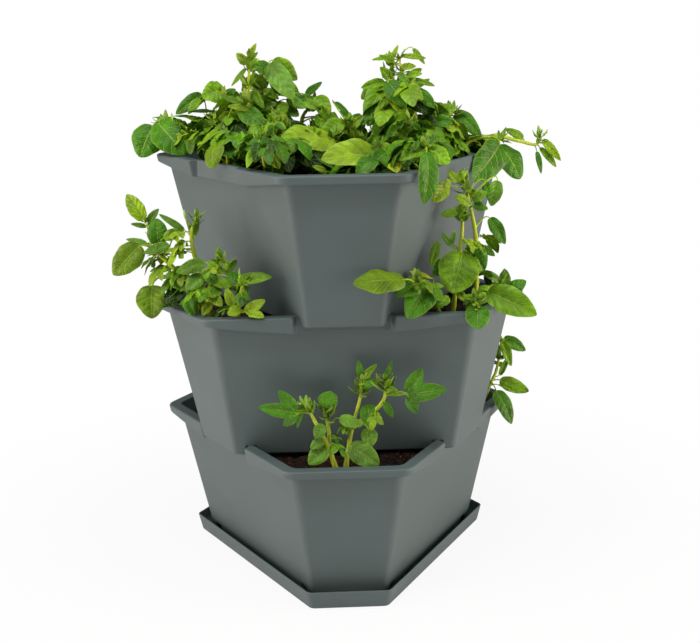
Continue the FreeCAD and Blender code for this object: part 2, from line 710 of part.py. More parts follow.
# Name, pot that it grows in, where its pocket lies (the direction of the
# corner, or nothing for the middle of the pot), how far its shape is turned
PLANTS = [
    ("top_left_plant", "top", None, 0, TOP_LEFT_STEMS, TOP_LEFT_LEAVES),
    ("tall_left_plant", "top", None, 0, TALL_LEFT_STEMS, TALL_LEFT_LEAVES),
    ("centre_plant", "top", None, 0, CENTRE_STEMS, CENTRE_LEAVES),
    ("tall_right_plant", "top", None, 0, TALL_RIGHT_STEMS, TALL_RIGHT_LEAVES),
    ("top_right_plant", "top", None, 0, TOP_RIGHT_STEMS, TOP_RIGHT_LEAVES),
    ("middle_left_plant", "middle", 210, 0, MIDDLE_LEFT_STEMS, MIDDLE_LEFT_LEAVES),
    ("middle_right_plant", "middle", 330, 0, MIDDLE_RIGHT_STEMS, MIDDLE_RIGHT_LEAVES),
    ("middle_back_plant", "middle", 90, 180, SMALL_STEMS, SMALL_LEAVES),
    ("bottom_front_plant", "bottom", 270, 0, SMALL_STEMS, SMALL_LEAVES),
    ("bottom_right_plant", "bottom", 30, 0, LOW_RIGHT_STEMS, LOW_RIGHT_LEAVES),
]


# The pot that the plants' points belong to. In a pot of other sizes the plants
# spread with its mouth, or with their pocket, and lean out with the wall behind.
MOUTH_REACH = 206
POCKET_DEPTH = 110
POCKET_HALF_WIDTH = 81.984
WALL_LEAN = 46


def stem_solid(points, foot_radius, tip_radius):
    """A round stem that tapers along straight runs, with a ball at each bend."""
    last = len(points) - 1
    radii = [foot_radius + (tip_radius - foot_radius) * k / last for k in range(last + 1)]
    runs = []
    for k in range(last):
        way = points[k + 1] - points[k]
        runs.append(Part.makeCone(radii[k], radii[k + 1], way.Length, points[k], way))
        runs.append(Part.makeSphere(radii[k + 1], points[k + 1]))
    return runs


def leaf_solid(foot, tip, width, facing, thickness):
    """A thin blade, pointed at both ends, with two arcs for its edges."""
    along = tip - foot
    across = along.cross(facing).normalize()
    normal = across.cross(along).normalize()
    low = foot - normal * (thickness / 2)
    high = low + along
    middle = low + along * 0.5
    right = Part.Arc(low, middle + across * (width / 2), high).toShape()
    left = Part.Arc(high, middle - across * (width / 2), low).toShape()
    return Part.Face(Part.Wire([right, left])).extrude(normal * thickness)


def plant(name, level, direction, turn, stems, leaves):
    """The stems of one plant as one piece and its leaves as another."""
    rotation = FreeCAD.Rotation(FreeCAD.Vector(0, 0, 1), turn)
    surface = number("%s + Sizes.tier_height - Sizes.soil_drop" % level)
    middle = FreeCAD.Vector(0, 0, surface)
    if direction is None:
        outward, sideways = FreeCAD.Vector(0, 1, 0), FreeCAD.Vector(1, 0, 0)
        spread_out = number("Sizes.rim_long - Sizes.wall") / MOUTH_REACH
        spread_sideways = spread_out
        lean = 0
    else:
        heading = math.radians(direction)
        outward = FreeCAD.Vector(math.cos(heading), math.sin(heading), 0)
        sideways = FreeCAD.Vector(-math.sin(heading), math.cos(heading), 0)
        middle += outward * number("(Sizes.rim_short - Sizes.wall + Sizes.foot_long) / 2")
        spread_out = number("Sizes.rim_short - Sizes.wall - Sizes.foot_long") / POCKET_DEPTH
        half_width = number("(2 * Sizes.rim_long - Sizes.rim_short) / sqrt(3)")
        spread_sideways = half_width / POCKET_HALF_WIDTH
        lean = number("Sizes.rim_long - Sizes.foot_long") - WALL_LEAN
    root = FreeCAD.Vector(0, 0, -number("Sizes.root_depth"))
    foot_radius = number("Sizes.stem_foot_radius")
    tip_radius = number("Sizes.stem_tip_radius")
    stalk_radius = number("Sizes.stalk_radius")
    thickness = number("Sizes.leaf_thickness")

    def point(offsets):
        place = rotation.multVec(FreeCAD.Vector(*offsets))
        out = place.dot(outward) * spread_out + lean * place.z / number(RIM)
        aside = place.dot(sideways) * spread_sideways
        return middle + outward * out + sideways * aside + FreeCAD.Vector(0, 0, place.z)

    knots = []
    runs = []
    for stem in stems:
        points = [point(offsets) for offsets in stem]
        knots += points[1:]
        if stem[0][2] == 0:
            points[0] = points[0] + root
        runs += stem_solid(points, foot_radius, tip_radius)
    blades = []
    for foot, tip, width, facing in leaves:
        foot, tip = point(foot), point(tip)
        facing = rotation.multVec(FreeCAD.Vector(*facing))
        blades.append(leaf_solid(foot, tip, width, facing, thickness))
        knot = min(knots, key=lambda place: place.distanceToPoint(foot))
        way = foot + (tip - foot) * 0.06 - knot
        blades.append(Part.makeCylinder(stalk_radius, way.Length, knot, way))
    pieces = []
    for part_name, solids in (("stems", runs), ("leaves", blades)):
        piece = doc.addObject("Part::Feature", "%s_%s" % (name, part_name))
        piece.Label = "%s_%s" % (name, part_name)
        piece.Shape = solids[0].multiFuse(solids[1:])
        pieces.append(piece)
    return pieces


pieces = [saucer()]
pot_master = pot()
compost_master = compost()
for tier, level, turn in TIERS:
    pieces.append(placed(tier + "_tier", pot_master, level, turn))
    pieces.append(placed(tier + "_soil", compost_master, level, turn))
levels = {tier: level for tier, level, turn in TIERS}
for name, tier, direction, turn, stems, leaves in PLANTS:
    pieces += plant(name, levels[tier], direction, turn, stems, leaves)

doc.recompute()
for item in doc.Objects:
    if "Invalid" in item.State or "Error" in item.State:
        raise RuntimeError("%s failed: %s" % (item.Label, item.State))
for piece in pieces:
    if piece.Shape.isNull() or not piece.Shape.isValid():
        raise RuntimeError("%s has no valid shape" % piece.Label)

os.makedirs("parts", exist_ok=True)
for piece in pieces:
    solids = len(piece.Shape.Solids)
    print("%-20s %d solids, %.1f cm3" % (piece.Label, solids, piece.Shape.Volume / 1000))
    piece.Shape.exportStep("parts/%s.step" % piece.Label)
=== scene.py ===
import math

import bpy
import numpy as np
from mathutils import Matrix, Vector


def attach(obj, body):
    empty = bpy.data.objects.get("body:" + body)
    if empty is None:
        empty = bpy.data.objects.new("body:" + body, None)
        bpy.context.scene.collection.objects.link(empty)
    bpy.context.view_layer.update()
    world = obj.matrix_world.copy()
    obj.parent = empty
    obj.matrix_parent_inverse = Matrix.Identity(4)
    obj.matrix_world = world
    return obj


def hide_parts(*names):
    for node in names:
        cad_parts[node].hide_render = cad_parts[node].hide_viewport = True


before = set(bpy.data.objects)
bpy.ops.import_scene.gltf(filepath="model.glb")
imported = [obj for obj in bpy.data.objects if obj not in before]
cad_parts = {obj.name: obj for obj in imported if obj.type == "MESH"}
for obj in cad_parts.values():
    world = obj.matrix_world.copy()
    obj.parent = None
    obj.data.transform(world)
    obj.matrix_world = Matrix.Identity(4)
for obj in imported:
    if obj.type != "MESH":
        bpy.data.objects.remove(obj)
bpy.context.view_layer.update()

# Pots
# Three equal injection-moulded pots of satin grey-green plastic, truncated triangles in plan. Each is one
# piece: a leaning wall, a flange rolled over at the rim and set back in the middle of every long side, and a
# groove across every foot corner, which sits on the rim of the pot below.
MM = 0.001
TIERS = ("bottom", "middle", "top")
POT_HEIGHT = 232.0
FIRST_LEVEL, TIER_PITCH = 6.0, 216.0
POT_LEVELS = {tier: FIRST_LEVEL + TIER_PITCH * k for k, tier in enumerate(TIERS)}
POT_TURNS = {"bottom": 0.0, "middle": 180.0, "top": 0.0}
CORNER_HEADINGS = (-90.0, 30.0, 150.0)
RIM_SHORT, RIM_LONG = 276.0, 209.0
FOOT_SHORT, FOOT_LONG = 230.0, 163.0
RIM_CORNER, FOOT_CORNER, FLANGE_CORNER, SMALLEST_CORNER = 20.0, 10.0, 26.0, 3.0
WALL, FLOOR_FILLET, FOOT_EDGE = 3.0, 4.0, 3.0
FLANGE_REACH, FLANGE_THICKNESS, FLANGE_ROLL = 16.5, 3.0, 4.0
RIM_EDGE, RECESS_ROLL = 1.3, 3.0
LIP_THICKNESS, LIP_DROP_AT_CORNER, LIP_DROP_AT_RECESS = 2.5, 12.5, 26.5
LONG_SIDE_END, LIP_FALL_END = 200.0, 207.6
RECESS_HALF_WIDTH, RECESS_END, RECESS_FACE = 77.5, 8.0, 212.5
GROOVE_INNER, GROOVE_OUTER, GROOVE_HEIGHT, GROOVE_EDGE = 201.8, 216.5, 16.3, 0.8
OUTLINE_HALF = 159.0


def smooth(value):
    """Smooth step of a value clipped to 0..1: 3v^2 - 2v^3."""
    value = np.clip(value, 0, 1)
    return value * value * (3 - 2 * value)


def between(start, end, share):
    """The value at a share of the way from start to end."""
    return start + (end - start) * share


def outline_columns():
    """Columns of a truncated triangle, anticlockwise from the front side.

    Each column has its side (even ones short), a sign and a fixed distance from the side's middle, the
    share of the way from there to the side's end, and its angle round the corner that follows. On a long
    side the columns stand close together where the recess ends and where the grooves' edges meet the wall.
    """
    fixed = np.concatenate([
        np.arange(0, 66, 7.0), [67, 68.5], np.arange(69.5, 78, 0.8), [78.5, 80.5, 84, 89],
        np.arange(96, 134, 7.0), [134.5, 136, 137, 138, 139, 140, 141.5, 145, 149],
        [151.5, 153, 154, 155, 156, 157.2, OUTLINE_HALF],
    ])
    far = np.array([0.35, 0.7, 0.9, 1.0])
    long_base = np.concatenate([fixed, np.full(far.size, OUTLINE_HALF)])
    long_share = np.concatenate([np.zeros(fixed.size), far])
    short_share = np.linspace(0, 1, 7)
    short_base = np.zeros(short_share.size)
    corner = np.radians(np.linspace(0, 60, 12)[1:-1])
    parts = []
    for side in range(6):
        base, share = (long_base, long_share) if side % 2 else (short_base, short_share)
        sides, ones, zeros = np.full(base.size, side), np.ones(base.size), np.zeros(base.size)
        left = np.stack([sides, -ones, base, share, zeros])[:, :0:-1]
        right = np.stack([sides, ones, base, share, zeros])
        turn = np.stack([
            np.full(corner.size, side), np.ones(corner.size), np.full(corner.size, base[-1]),
            np.ones(corner.size), corner,
        ])
        parts += [left, right, turn]
    return np.concatenate(parts, axis=1)


def outline_points(columns, short_reach, long_reach, radius):
    """Points of truncated triangles, one ring in each row of the reaches.

    On a side: normal * reach + along * distance. Round a corner: the corner's centre + radius * direction.
    """
    side, sign, base, share, corner = columns
    heading = np.radians(60 * side - 90)
    short_side = side % 2 == 0
    own = np.where(short_side, short_reach, long_reach)
    other = np.where(short_side, long_reach, short_reach)
    limit = (2 * other - own) / math.sqrt(3) - radius * math.tan(math.radians(30))
    distance = sign * between(base, limit, share)
    inner = own - radius
    x = np.cos(heading) * inner - np.sin(heading) * distance + radius * np.cos(heading + corner)
    y = np.sin(heading) * inner + np.cos(heading) * distance + radius * np.sin(heading + corner)
    return x, y


def arc(centre_out, centre_up, radius, start, end, count=5):
    """Points (out, up) on a rounded edge: centre + radius * (cos, sin) between two angles in degrees."""
    angle = np.radians(np.linspace(start, end, count))
    return np.stack([centre_out + radius * np.cos(angle), centre_up + radius * np.sin(angle)], axis=1)


def along(start, end, count):
    """Evenly spaced points (out, up) on a straight stretch, without its ends."""
    step = np.linspace(0, 1, count + 2)[1:-1, None]
    return np.array(start) * (1 - step) + np.array(end) * step


def with_floor(x, y, up, thickness, shares):
    """A vessel's rows: rings from the middle of its floor out to its wall's first row, at those shares of the
    way, then the wall itself, and rings from its last row back to the middle of the underside."""
    shares = shares[:, None]
    x = np.concatenate([x[:1] * shares, x, x[-1:] * shares[::-1]])
    y = np.concatenate([y[:1] * shares, y, y[-1:] * shares[::-1]])
    flat = np.zeros((len(shares), x.shape[1]))
    z = np.concatenate([flat + thickness, np.broadcast_to(up, (len(up), x.shape[1])), flat])
    return x, y, z


def closed_mesh(name, *batches):
    """One smooth mesh from closed surfaces, in batches of grids of rows and columns that run round.

    A grid's first and last row are a point each, and become fans. Faces point outwards where the rows
    cross the columns as a radius crosses an anticlockwise ring seen from above.
    """
    points, faces, done = [], [], 0
    for grids in batches:
        count, rows, columns = grids.shape[:3]
        body = grids[:, 1:-1].reshape(count, -1, 3)
        vertices = np.concatenate([body, grids[:, 0, :1], grids[:, -1, :1]], axis=1)
        row, column = np.meshgrid(np.arange(rows - 3), np.arange(columns), indexing="ij")
        following = (column + 1) % columns
        quads = np.stack([
            row * columns + column, (row + 1) * columns + column,
            (row + 1) * columns + following, row * columns + following,
        ], axis=-1).reshape(-1, 4)
        ring = np.arange(columns)
        after = (ring + 1) % columns
        first, last = body.shape[1], body.shape[1] + 1
        end = (rows - 3) * columns
        fans = np.concatenate([
            np.stack([np.full(columns, first), ring, after], axis=1),
            np.stack([np.full(columns, last), end + after, end + ring], axis=1),
        ])
        shift = (done + np.arange(count) * vertices.shape[1])[:, None, None]
        faces += (quads + shift).reshape(-1, 4).tolist() + (fans + shift).reshape(-1, 3).tolist()
        points.append(vertices.reshape(-1, 3))
        done += len(points[-1])
    mesh = bpy.data.meshes.new(name)
    mesh.from_pydata((np.concatenate(points) * MM).tolist(), [], faces)
    mesh.polygons.foreach_set("use_smooth", np.ones(len(mesh.polygons), bool))
    mesh.update()
    return mesh


def groove_ceiling(x, y, margin):
    """Height of the grooves' ceilings: groove height * a smooth box across each corner's direction."""
    out = np.max([np.cos(a) * x + np.sin(a) * y for a in np.radians(CORNER_HEADINGS)], axis=0)
    inside = smooth((out - GROOVE_INNER + margin) / GROOVE_EDGE + 0.5)
    inside *= smooth((GROOVE_OUTER + margin - out) / GROOVE_EDGE + 0.5)
    return (GROOVE_HEIGHT + margin) * inside


def pot_profile(recess, drop):
    """A pot's profile at every column, in rows of how far out from the wall it lies and how high.

    It runs up inside from the floor, over the flange, down the lip and back up behind it, and down the wall
    to the foot. By the share recess, the flange's profile blends into one where the lip stands upright and
    nearer to the wall. The lip's lower edge lies under the rim by drop.
    """
    rim, under = POT_HEIGHT, POT_HEIGHT - FLANGE_THICKNESS

    def up_and_over(reach, roll):
        return np.concatenate([
            along((-WALL, 8), (-WALL, under), 13), [(-WALL, under)],
            arc(RIM_EDGE - WALL, rim - RIM_EDGE, RIM_EDGE, 180, 90),
            along((RIM_EDGE - WALL, rim), (reach - roll, rim), 4),
            arc(reach - roll, rim - roll, roll, 90, 0, 8),
        ])

    def blended(flange, recessed):
        out = flange[:, :1] * (1 - recess) + recessed[:, :1] * recess
        up = flange[:, 1:] * (1 - recess) + recessed[:, 1:] * recess
        return out, up

    # The lip's rows: five down its outer face and five up its inner one, folded in by its thickness
    share_down = np.array([0.15, 0.5, 0.85, 0.97, 1.0, 1.0, 0.97, 0.8, 0.4, 0.1])[:, None]
    fold = LIP_THICKNESS * np.array([0, 0, 0, 0.06, 0.32, 0.68, 0.94, 1, 1, 1])[:, None]
    outer_face = np.arange(10)[:, None] < 5
    lip_top = np.where(outer_face, rim - between(FLANGE_ROLL, RECESS_ROLL, recess), under)
    lip_up = between(lip_top, rim - drop, share_down)
    upright = RECESS_FACE - between(FOOT_LONG, RIM_LONG, lip_up / POT_HEIGHT)
    lip = between(FLANGE_REACH, upright, recess) - fold

    # The way back under the flange into the wall, and the wall, with rows close together at the grooves
    tuck = np.array([(12.5, under), (8, under), (2.5, under), (0.7, under - 0.6), (0, under - 2.4)])
    recess_tuck = np.array([
        (1.2, under), (1.0, under), (0.7, under - 0.1), (0.3, under - 0.6), (0, under - 2.4),
    ])
    wall = np.concatenate([
        [(0, under - 8), (0, 212), (0, 206), (0, 202)], along((0, 201), (0, 24), 7),
        [(0, 24), (0, 20), (0, 17.6), (0, 16.9), (0, GROOVE_HEIGHT), (0, 15.7), (0, 15)],
        [(0, 12), (0, 8), (0, 5)], arc(-FOOT_EDGE, FOOT_EDGE, FOOT_EDGE, 0, -90),
    ])
    fillet = arc(-WALL - FLOOR_FILLET, WALL + FLOOR_FILLET, FLOOR_FILLET, -90, -180)
    stretches = [
        blended(fillet, fillet),
        blended(up_and_over(FLANGE_REACH, FLANGE_ROLL), up_and_over(RECESS_FACE - RIM_LONG, RECESS_ROLL)),
        (lip, lip_up), blended(tuck, recess_tuck), blended(wall, wall),
    ]
    out = np.concatenate([stretch[0] for stretch in stretches])
    up = np.concatenate([stretch[1] for stretch in stretches])
    return out, up


def pot_mesh():
    """A pot as one closed surface: its profile carried round the outline.

    The reach of a side is its reach at the foot, growing to that at the rim, plus the profile's out. A smooth
    step along each long side sets the share of the recess, and the lip's lower edge falls towards there.
    """
    columns = outline_columns()
    side, _, base, share, corner = columns
    distance = between(base, LONG_SIDE_END, share)
    on_long = (side % 2 == 1) & (corner == 0)
    recess = np.where(on_long, smooth((RECESS_HALF_WIDTH - distance) / RECESS_END), 0)
    fall = np.clip((distance - RECESS_HALF_WIDTH) / (LIP_FALL_END - RECESS_HALF_WIDTH), 0, 1)
    drop = np.where(on_long, between(LIP_DROP_AT_RECESS, LIP_DROP_AT_CORNER, fall), LIP_DROP_AT_CORNER)
    out, up = pot_profile(recess, drop)
    lean = up / POT_HEIGHT
    radius = between(FOOT_CORNER, RIM_CORNER, lean)
    radius += np.where(out > 0, out * (FLANGE_CORNER - RIM_CORNER) / FLANGE_REACH, out)
    x, y = outline_points(
        columns, between(FOOT_SHORT, RIM_SHORT, lean) + out, between(FOOT_LONG, RIM_LONG, lean) + out,
        np.maximum(radius, SMALLEST_CORNER),
    )
    coarse, fine = np.linspace(0, 0.78, 7), np.linspace(0.8, 0.99, 24)
    shares = np.concatenate([coarse, fine])
    x, y, z = with_floor(x, y, up, WALL, shares)
    inner = len(shares) + up[:, 0].argmax()
    z[:inner] = np.maximum(z[:inner], groove_ceiling(x[:inner], y[:inner], WALL))
    z[inner:] = np.maximum(z[inner:], groove_ceiling(x[inner:], y[inner:], 0))
    return closed_mesh("pot", np.stack([x, y, z], axis=-1)[None])


def new_material(name, roughness, gloss):
    """A material with its node tree and its main shader, whose roughness and specular level are set."""
    material = bpy.data.materials.new(name)
    material.use_nodes = True
    shader = material.node_tree.nodes["Principled BSDF"]
    shader.inputs["Roughness"].default_value = roughness
    shader.inputs["Specular IOR Level"].default_value = gloss
    return material, material.node_tree, shader


def add_node(tree, kind, inputs, **settings):
    """Adds a shader node with its settings. Each input gets a value, or a link from another node's output."""
    node = tree.nodes.new("ShaderNode" + kind)
    for setting, value in settings.items():
        setattr(node, setting, value)
    for socket, value in inputs.items():
        if isinstance(value, bpy.types.NodeSocket):
            tree.links.new(value, node.inputs[socket])
        else:
            node.inputs[socket].default_value = value
    return node


def noise(tree, scale, detail=2, squeeze=None):
    """Noise in the object's own space, from 0 to 1. A squeeze below 1 along an axis draws it out there."""
    where = add_node(tree, "TexCoord", {}).outputs["Object"]
    if squeeze:
        where = add_node(tree, "Mapping", {"Vector": where, "Scale": squeeze}).outputs["Vector"]
    return add_node(tree, "TexNoise", {"Vector": where, "Scale": scale, "Detail": detail}).outputs["Fac"]


def two_tones(tree, value, low, dark, high, light):
    """A colour that goes from dark to light as a value goes from low to high."""
    ramp = add_node(tree, "ValToRGB", {"Fac": value})
    for stop, position, colour in zip(ramp.color_ramp.elements, (low, high), (dark, light)):
        stop.position = position
        stop.color = (*colour, 1)
    return ramp.outputs["Color"]


def raise_skin(tree, shader, height, strength, distance):
    """Bumps a shader's surface by a height."""
    bump = add_node(tree, "Bump", {"Height": height, "Strength": strength, "Distance": distance})
    tree.links.new(bump.outputs["Normal"], shader.inputs["Normal"])


def satin_plastic(name, colour, roughness):
    """Moulded plastic: one colour with faint cloudiness, and a finely textured skin."""
    material, tree, shader = new_material(name, roughness, gloss=0.45)
    cloud = noise(tree, scale=9, detail=3)
    dark, light = [0.93 * c for c in colour], [1.07 * c for c in colour]
    tree.links.new(two_tones(tree, cloud, 0.3, dark, 0.7, light), shader.inputs["Base Color"])
    glossy, matt = roughness - 0.05, roughness + 0.06
    sheen = add_node(tree, "MapRange", {"Value": cloud, "To Min": glossy, "To Max": matt})
    tree.links.new(sheen.outputs["Result"], shader.inputs["Roughness"])
    raise_skin(tree, shader, noise(tree, scale=900), strength=0.12, distance=0.0004)
    return material


def in_place(mesh, tier):
    """Turns a mesh with its pot and lifts it to the pot's level."""
    turn = Matrix.Rotation(math.radians(POT_TURNS[tier]), 4, "Z")
    mesh.transform(Matrix.Translation((0, 0, POT_LEVELS[tier] * MM)) @ turn)
    return mesh


def new_piece(name, mesh, material, slot, body, *nodes):
    """Puts a mesh into the scene as a piece that rides on a body and stands for CAD nodes."""
    piece = bpy.data.objects.new(name, mesh)
    bpy.context.scene.collection.objects.link(piece)
    mesh.materials.append(material)
    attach(piece, body)
    if nodes:
        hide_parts(*nodes)
    return piece


pot_plastic = satin_plastic("pot_plastic", colour=(0.084, 0.115, 0.113), roughness=0.5)
pot_shape = pot_mesh()
for tier in TIERS:
    shape = in_place(pot_shape.copy(), tier)
    pot = new_piece(tier + "_pot", shape, pot_plastic, "pot_plastic", tier, tier + "_tier")
    pot.modifiers.new("even shading", "WEIGHTED_NORMAL").keep_sharp = True

# Saucer
# A shallow tray of the same plastic under the lowest pot, in one piece with three low ribs on its floor that
# keep the pot's drain holes clear of the water.
SAUCER_RIM_SHORT, SAUCER_RIM_LONG = 258.0, 184.0
SAUCER_FOOT_SHORT, SAUCER_FOOT_LONG = 252.0, 177.5
SAUCER_HEIGHT, SAUCER_WALL, SAUCER_FLOOR = 29.5, 3.0, 3.0
SAUCER_CORNER, SAUCER_SMALLEST_CORNER = 12.0, 4.0
SAUCER_FILLET, SAUCER_RIM_EDGE, SAUCER_FOOT_EDGE = 3.0, 1.45, 2.5
RIB_HEIGHT, RIB_WIDTH, RIB_INNER, RIB_OUTER, RIB_EDGE = 2.7, 8.0, 45.0, 155.0, 2.0


def saucer_mesh():
    """The tray as one closed surface: floor, wall, rounded rim, wall and underside round the outline.

    Each rib lifts the floor by its height times smooth boxes across and along a corner's direction.
    """
    fillet_centre = (-SAUCER_WALL - SAUCER_FILLET, SAUCER_FLOOR + SAUCER_FILLET)
    profile = np.concatenate([
        arc(*fillet_centre, SAUCER_FILLET, -90, -180),
        along((-SAUCER_WALL, 7), (-SAUCER_WALL, 27), 3), [(-SAUCER_WALL, 27)],
        arc(-SAUCER_WALL / 2, SAUCER_HEIGHT - SAUCER_RIM_EDGE, SAUCER_RIM_EDGE, 180, 0, 9),
        [(0, 27)], along((0, 27), (0, 5), 3), [(0, 5)],
        arc(-SAUCER_FOOT_EDGE, SAUCER_FOOT_EDGE, SAUCER_FOOT_EDGE, 0, -90),
    ])
    out, up = profile[:, :1], profile[:, 1:]
    lean = up / SAUCER_HEIGHT
    x, y = outline_points(
        outline_columns(), between(SAUCER_FOOT_SHORT, SAUCER_RIM_SHORT, lean) + out,
        between(SAUCER_FOOT_LONG, SAUCER_RIM_LONG, lean) + out,
        np.maximum(SAUCER_CORNER + out, SAUCER_SMALLEST_CORNER),
    )
    shares = np.linspace(0, 0.99, 40)
    x, y, z = with_floor(x, y, up, SAUCER_FLOOR, shares)
    floor = slice(len(shares))
    for heading in np.radians(CORNER_HEADINGS):
        outwards = np.cos(heading) * x[floor] + np.sin(heading) * y[floor]
        across = np.abs(-np.sin(heading) * x[floor] + np.cos(heading) * y[floor])
        rib = smooth((RIB_WIDTH / 2 - across) / RIB_EDGE + 0.5) * smooth((outwards - RIB_INNER) / RIB_EDGE)
        z[floor] += RIB_HEIGHT * rib * smooth((RIB_OUTER - outwards) / RIB_EDGE)
    return closed_mesh("saucer_tray", np.stack([x, y, z], axis=-1)[None])


saucer_plastic = satin_plastic("saucer_plastic", colour=(0.090, 0.121, 0.122), roughness=0.45)
tray = new_piece("saucer_tray", saucer_mesh(), saucer_plastic, "saucer_plastic", "saucer", "saucer")
tray.modifiers.new("even shading", "WEIGHTED_NORMAL").keep_sharp = True

# Compost
# Each pot is filled with dark, damp, crumbly compost to 24 mm below its rim. The filling is one lumpy body
# with loose crumbs and reddish bits of bark lying on it.
COMPOST_DROP, COMPOST_WALL_GAP, COMPOST_FOOT_GAP = 24.0, 0.6, 12.0
LUMP_HEIGHT, LUMP_SWING, LUMP_WAVES, SHORT_WAVE, LONG_WAVE = 2.4, 1.6, 70, 9, 90
CRUMB_COUNT, CRUMB_SMALLEST, CRUMB_LARGEST, BARK_SHARE = 900, 0.7, 4.2, 0.16
CRUMB_SIZE_LOG, CRUMB_SPREAD_LOG = 0.55, 0.45
CRUMB_FIELD, CRUMB_RIM_GAP, CRUMB_FOOT_GAP, CRUMB_LIFT = 270, 16, 4, 0.3


def lumps(x, y, seed):
    """Height of the lumps at a point: a sum of sine waves in all directions, the short ones low."""
    draw = np.random.default_rng(seed)
    length = np.exp(draw.uniform(math.log(SHORT_WAVE), math.log(LONG_WAVE), LUMP_WAVES))
    heading = draw.uniform(0, math.tau, LUMP_WAVES)
    phase = draw.uniform(0, math.tau, LUMP_WAVES)
    wave = [
        (length[k] / LONG_WAVE) ** 0.45
        * np.sin(math.tau / length[k] * (np.cos(heading[k]) * x + np.sin(heading[k]) * y) + phase[k])
        for k in range(LUMP_WAVES)
    ]
    return np.sum(wave, axis=0) / math.sqrt(LUMP_WAVES) * LUMP_SWING


def compost_mesh(seed):
    """The filling as one closed surface: rings from the middle of its top to the edge, down the wall, and
    back to the middle below. The top is its level plus the lumps, which fade at the edge."""
    level = POT_HEIGHT - COMPOST_DROP
    up = np.array([[level], [level - 2], [level * 0.6], [GROOVE_HEIGHT + COMPOST_FOOT_GAP]])
    out = -WALL - COMPOST_WALL_GAP
    lean = up / POT_HEIGHT
    x, y = outline_points(
        outline_columns(), between(FOOT_SHORT, RIM_SHORT, lean) + out,
        between(FOOT_LONG, RIM_LONG, lean) + out, between(FOOT_CORNER, RIM_CORNER, lean) + out,
    )
    rings = np.concatenate([[0, 0.05], np.linspace(0.1, 0.995, 70)])[:, None]
    top_x, top_y = x[:1] * rings, y[:1] * rings
    fading = 1 - 0.6 * rings ** 12
    top_z = level + LUMP_HEIGHT * lumps(top_x, top_y, seed) * fading - rings ** 30
    middle = np.zeros_like(x[:1])
    grid_x = np.concatenate([top_x, x[1:], x[-1:] * 0.6, middle])
    grid_y = np.concatenate([top_y, y[1:], y[-1:] * 0.6, middle])
    grid_z = np.concatenate([top_z, up[1:] + middle, up[-1:] + middle, up[-1:] + middle])
    return closed_mesh("compost", np.stack([grid_x, grid_y, grid_z], axis=-1)[None])


def crumb_mesh(name, seed, covered):
    """Loose crumbs: squashed octahedra of 6 points, each turned and scaled at random, half sunk in the top.

    None lies outside the pot or, where it is covered, under the pot above. One in six is a bit of bark.
    """
    draw = np.random.default_rng(seed)
    spots = draw.uniform(-CRUMB_FIELD, CRUMB_FIELD, (CRUMB_COUNT * 6, 2))
    headings = np.radians(60 * np.arange(6) - 90)
    short_side = np.arange(6) % 2 == 0
    reach = spots @ np.stack([np.cos(headings), np.sin(headings)])
    free = (reach < np.where(short_side, RIM_SHORT, RIM_LONG) - CRUMB_RIM_GAP).all(axis=1)
    if covered:
        free &= (reach > np.where(short_side, FOOT_LONG, FOOT_SHORT) + CRUMB_FOOT_GAP).any(axis=1)
    spots = spots[free][:CRUMB_COUNT]
    count = len(spots)
    size = np.exp(draw.normal(CRUMB_SIZE_LOG, CRUMB_SPREAD_LOG, (count, 1, 1)))
    size = size.clip(CRUMB_SMALLEST, CRUMB_LARGEST)
    shape = np.array([(1, 0, 0), (0, 1, 0), (-1, 0, 0), (0, -1, 0), (0, 0, 1), (0, 0, -1)], float)
    points = shape * size * draw.uniform(0.6, 1.4, (count, 6, 1))
    turn, _ = np.linalg.qr(draw.normal(size=(count, 3, 3)))
    points = np.einsum("nij,nkj->nki", turn, points)
    height = POT_HEIGHT - COMPOST_DROP + LUMP_HEIGHT * lumps(spots[:, 0], spots[:, 1], seed)
    points += np.stack([spots[:, 0], spots[:, 1], height + CRUMB_LIFT], axis=1)[:, None]
    solid = np.array([(0, 1, 4), (1, 2, 4), (2, 3, 4), (3, 0, 4), (1, 0, 5), (2, 1, 5), (3, 2, 5), (0, 3, 5)])
    flip = np.linalg.det(turn) < 0
    faces = np.where(flip[:, None, None], solid[:, ::-1], solid) + 6 * np.arange(count)[:, None, None]
    mesh = bpy.data.meshes.new(name)
    mesh.from_pydata((points.reshape(-1, 3) * MM).tolist(), [], faces.reshape(-1, 3).tolist())
    is_bark = draw.uniform(size=count) < BARK_SHARE
    shade = np.where(is_bark, draw.uniform(0.6, 1, count), draw.uniform(0, 0.25, count))
    bark = mesh.attributes.new("bark", "FLOAT", "POINT")
    bark.data.foreach_set("value", np.repeat(shade, 6).astype(np.float32))
    mesh.update()
    return mesh


def compost_earth():
    """Near-black brown with paler and redder specks, dull and rough. The attribute bark reddens a crumb."""
    material, tree, shader = new_material("compost_earth", roughness=0.85, gloss=0.25)
    speck = noise(tree, scale=160, detail=6)
    brown = two_tones(tree, speck, 0.35, (0.006, 0.0035, 0.0025), 0.78, (0.055, 0.026, 0.017))
    bark = add_node(tree, "Attribute", {}, attribute_name="bark").outputs["Fac"]
    reddish = (0.17, 0.06, 0.03, 1)
    earth = add_node(tree, "Mix", {"Factor": bark, "A": brown, "B": reddish}, data_type="RGBA")
    tree.links.new(earth.outputs["Result"], shader.inputs["Base Color"])
    raise_skin(tree, shader, speck, strength=0.9, distance=0.002)
    return material


earth = compost_earth()
for seed, tier in enumerate(TIERS, start=3):
    filling = in_place(compost_mesh(seed), tier)
    crumbs = in_place(crumb_mesh(tier + "_crumbs", seed, covered=tier != "top"), tier)
    new_piece(tier + "_compost", filling, earth, "compost", tier, tier + "_soil")
    new_piece(tier + "_crumbs", crumbs, earth, "compost", tier)

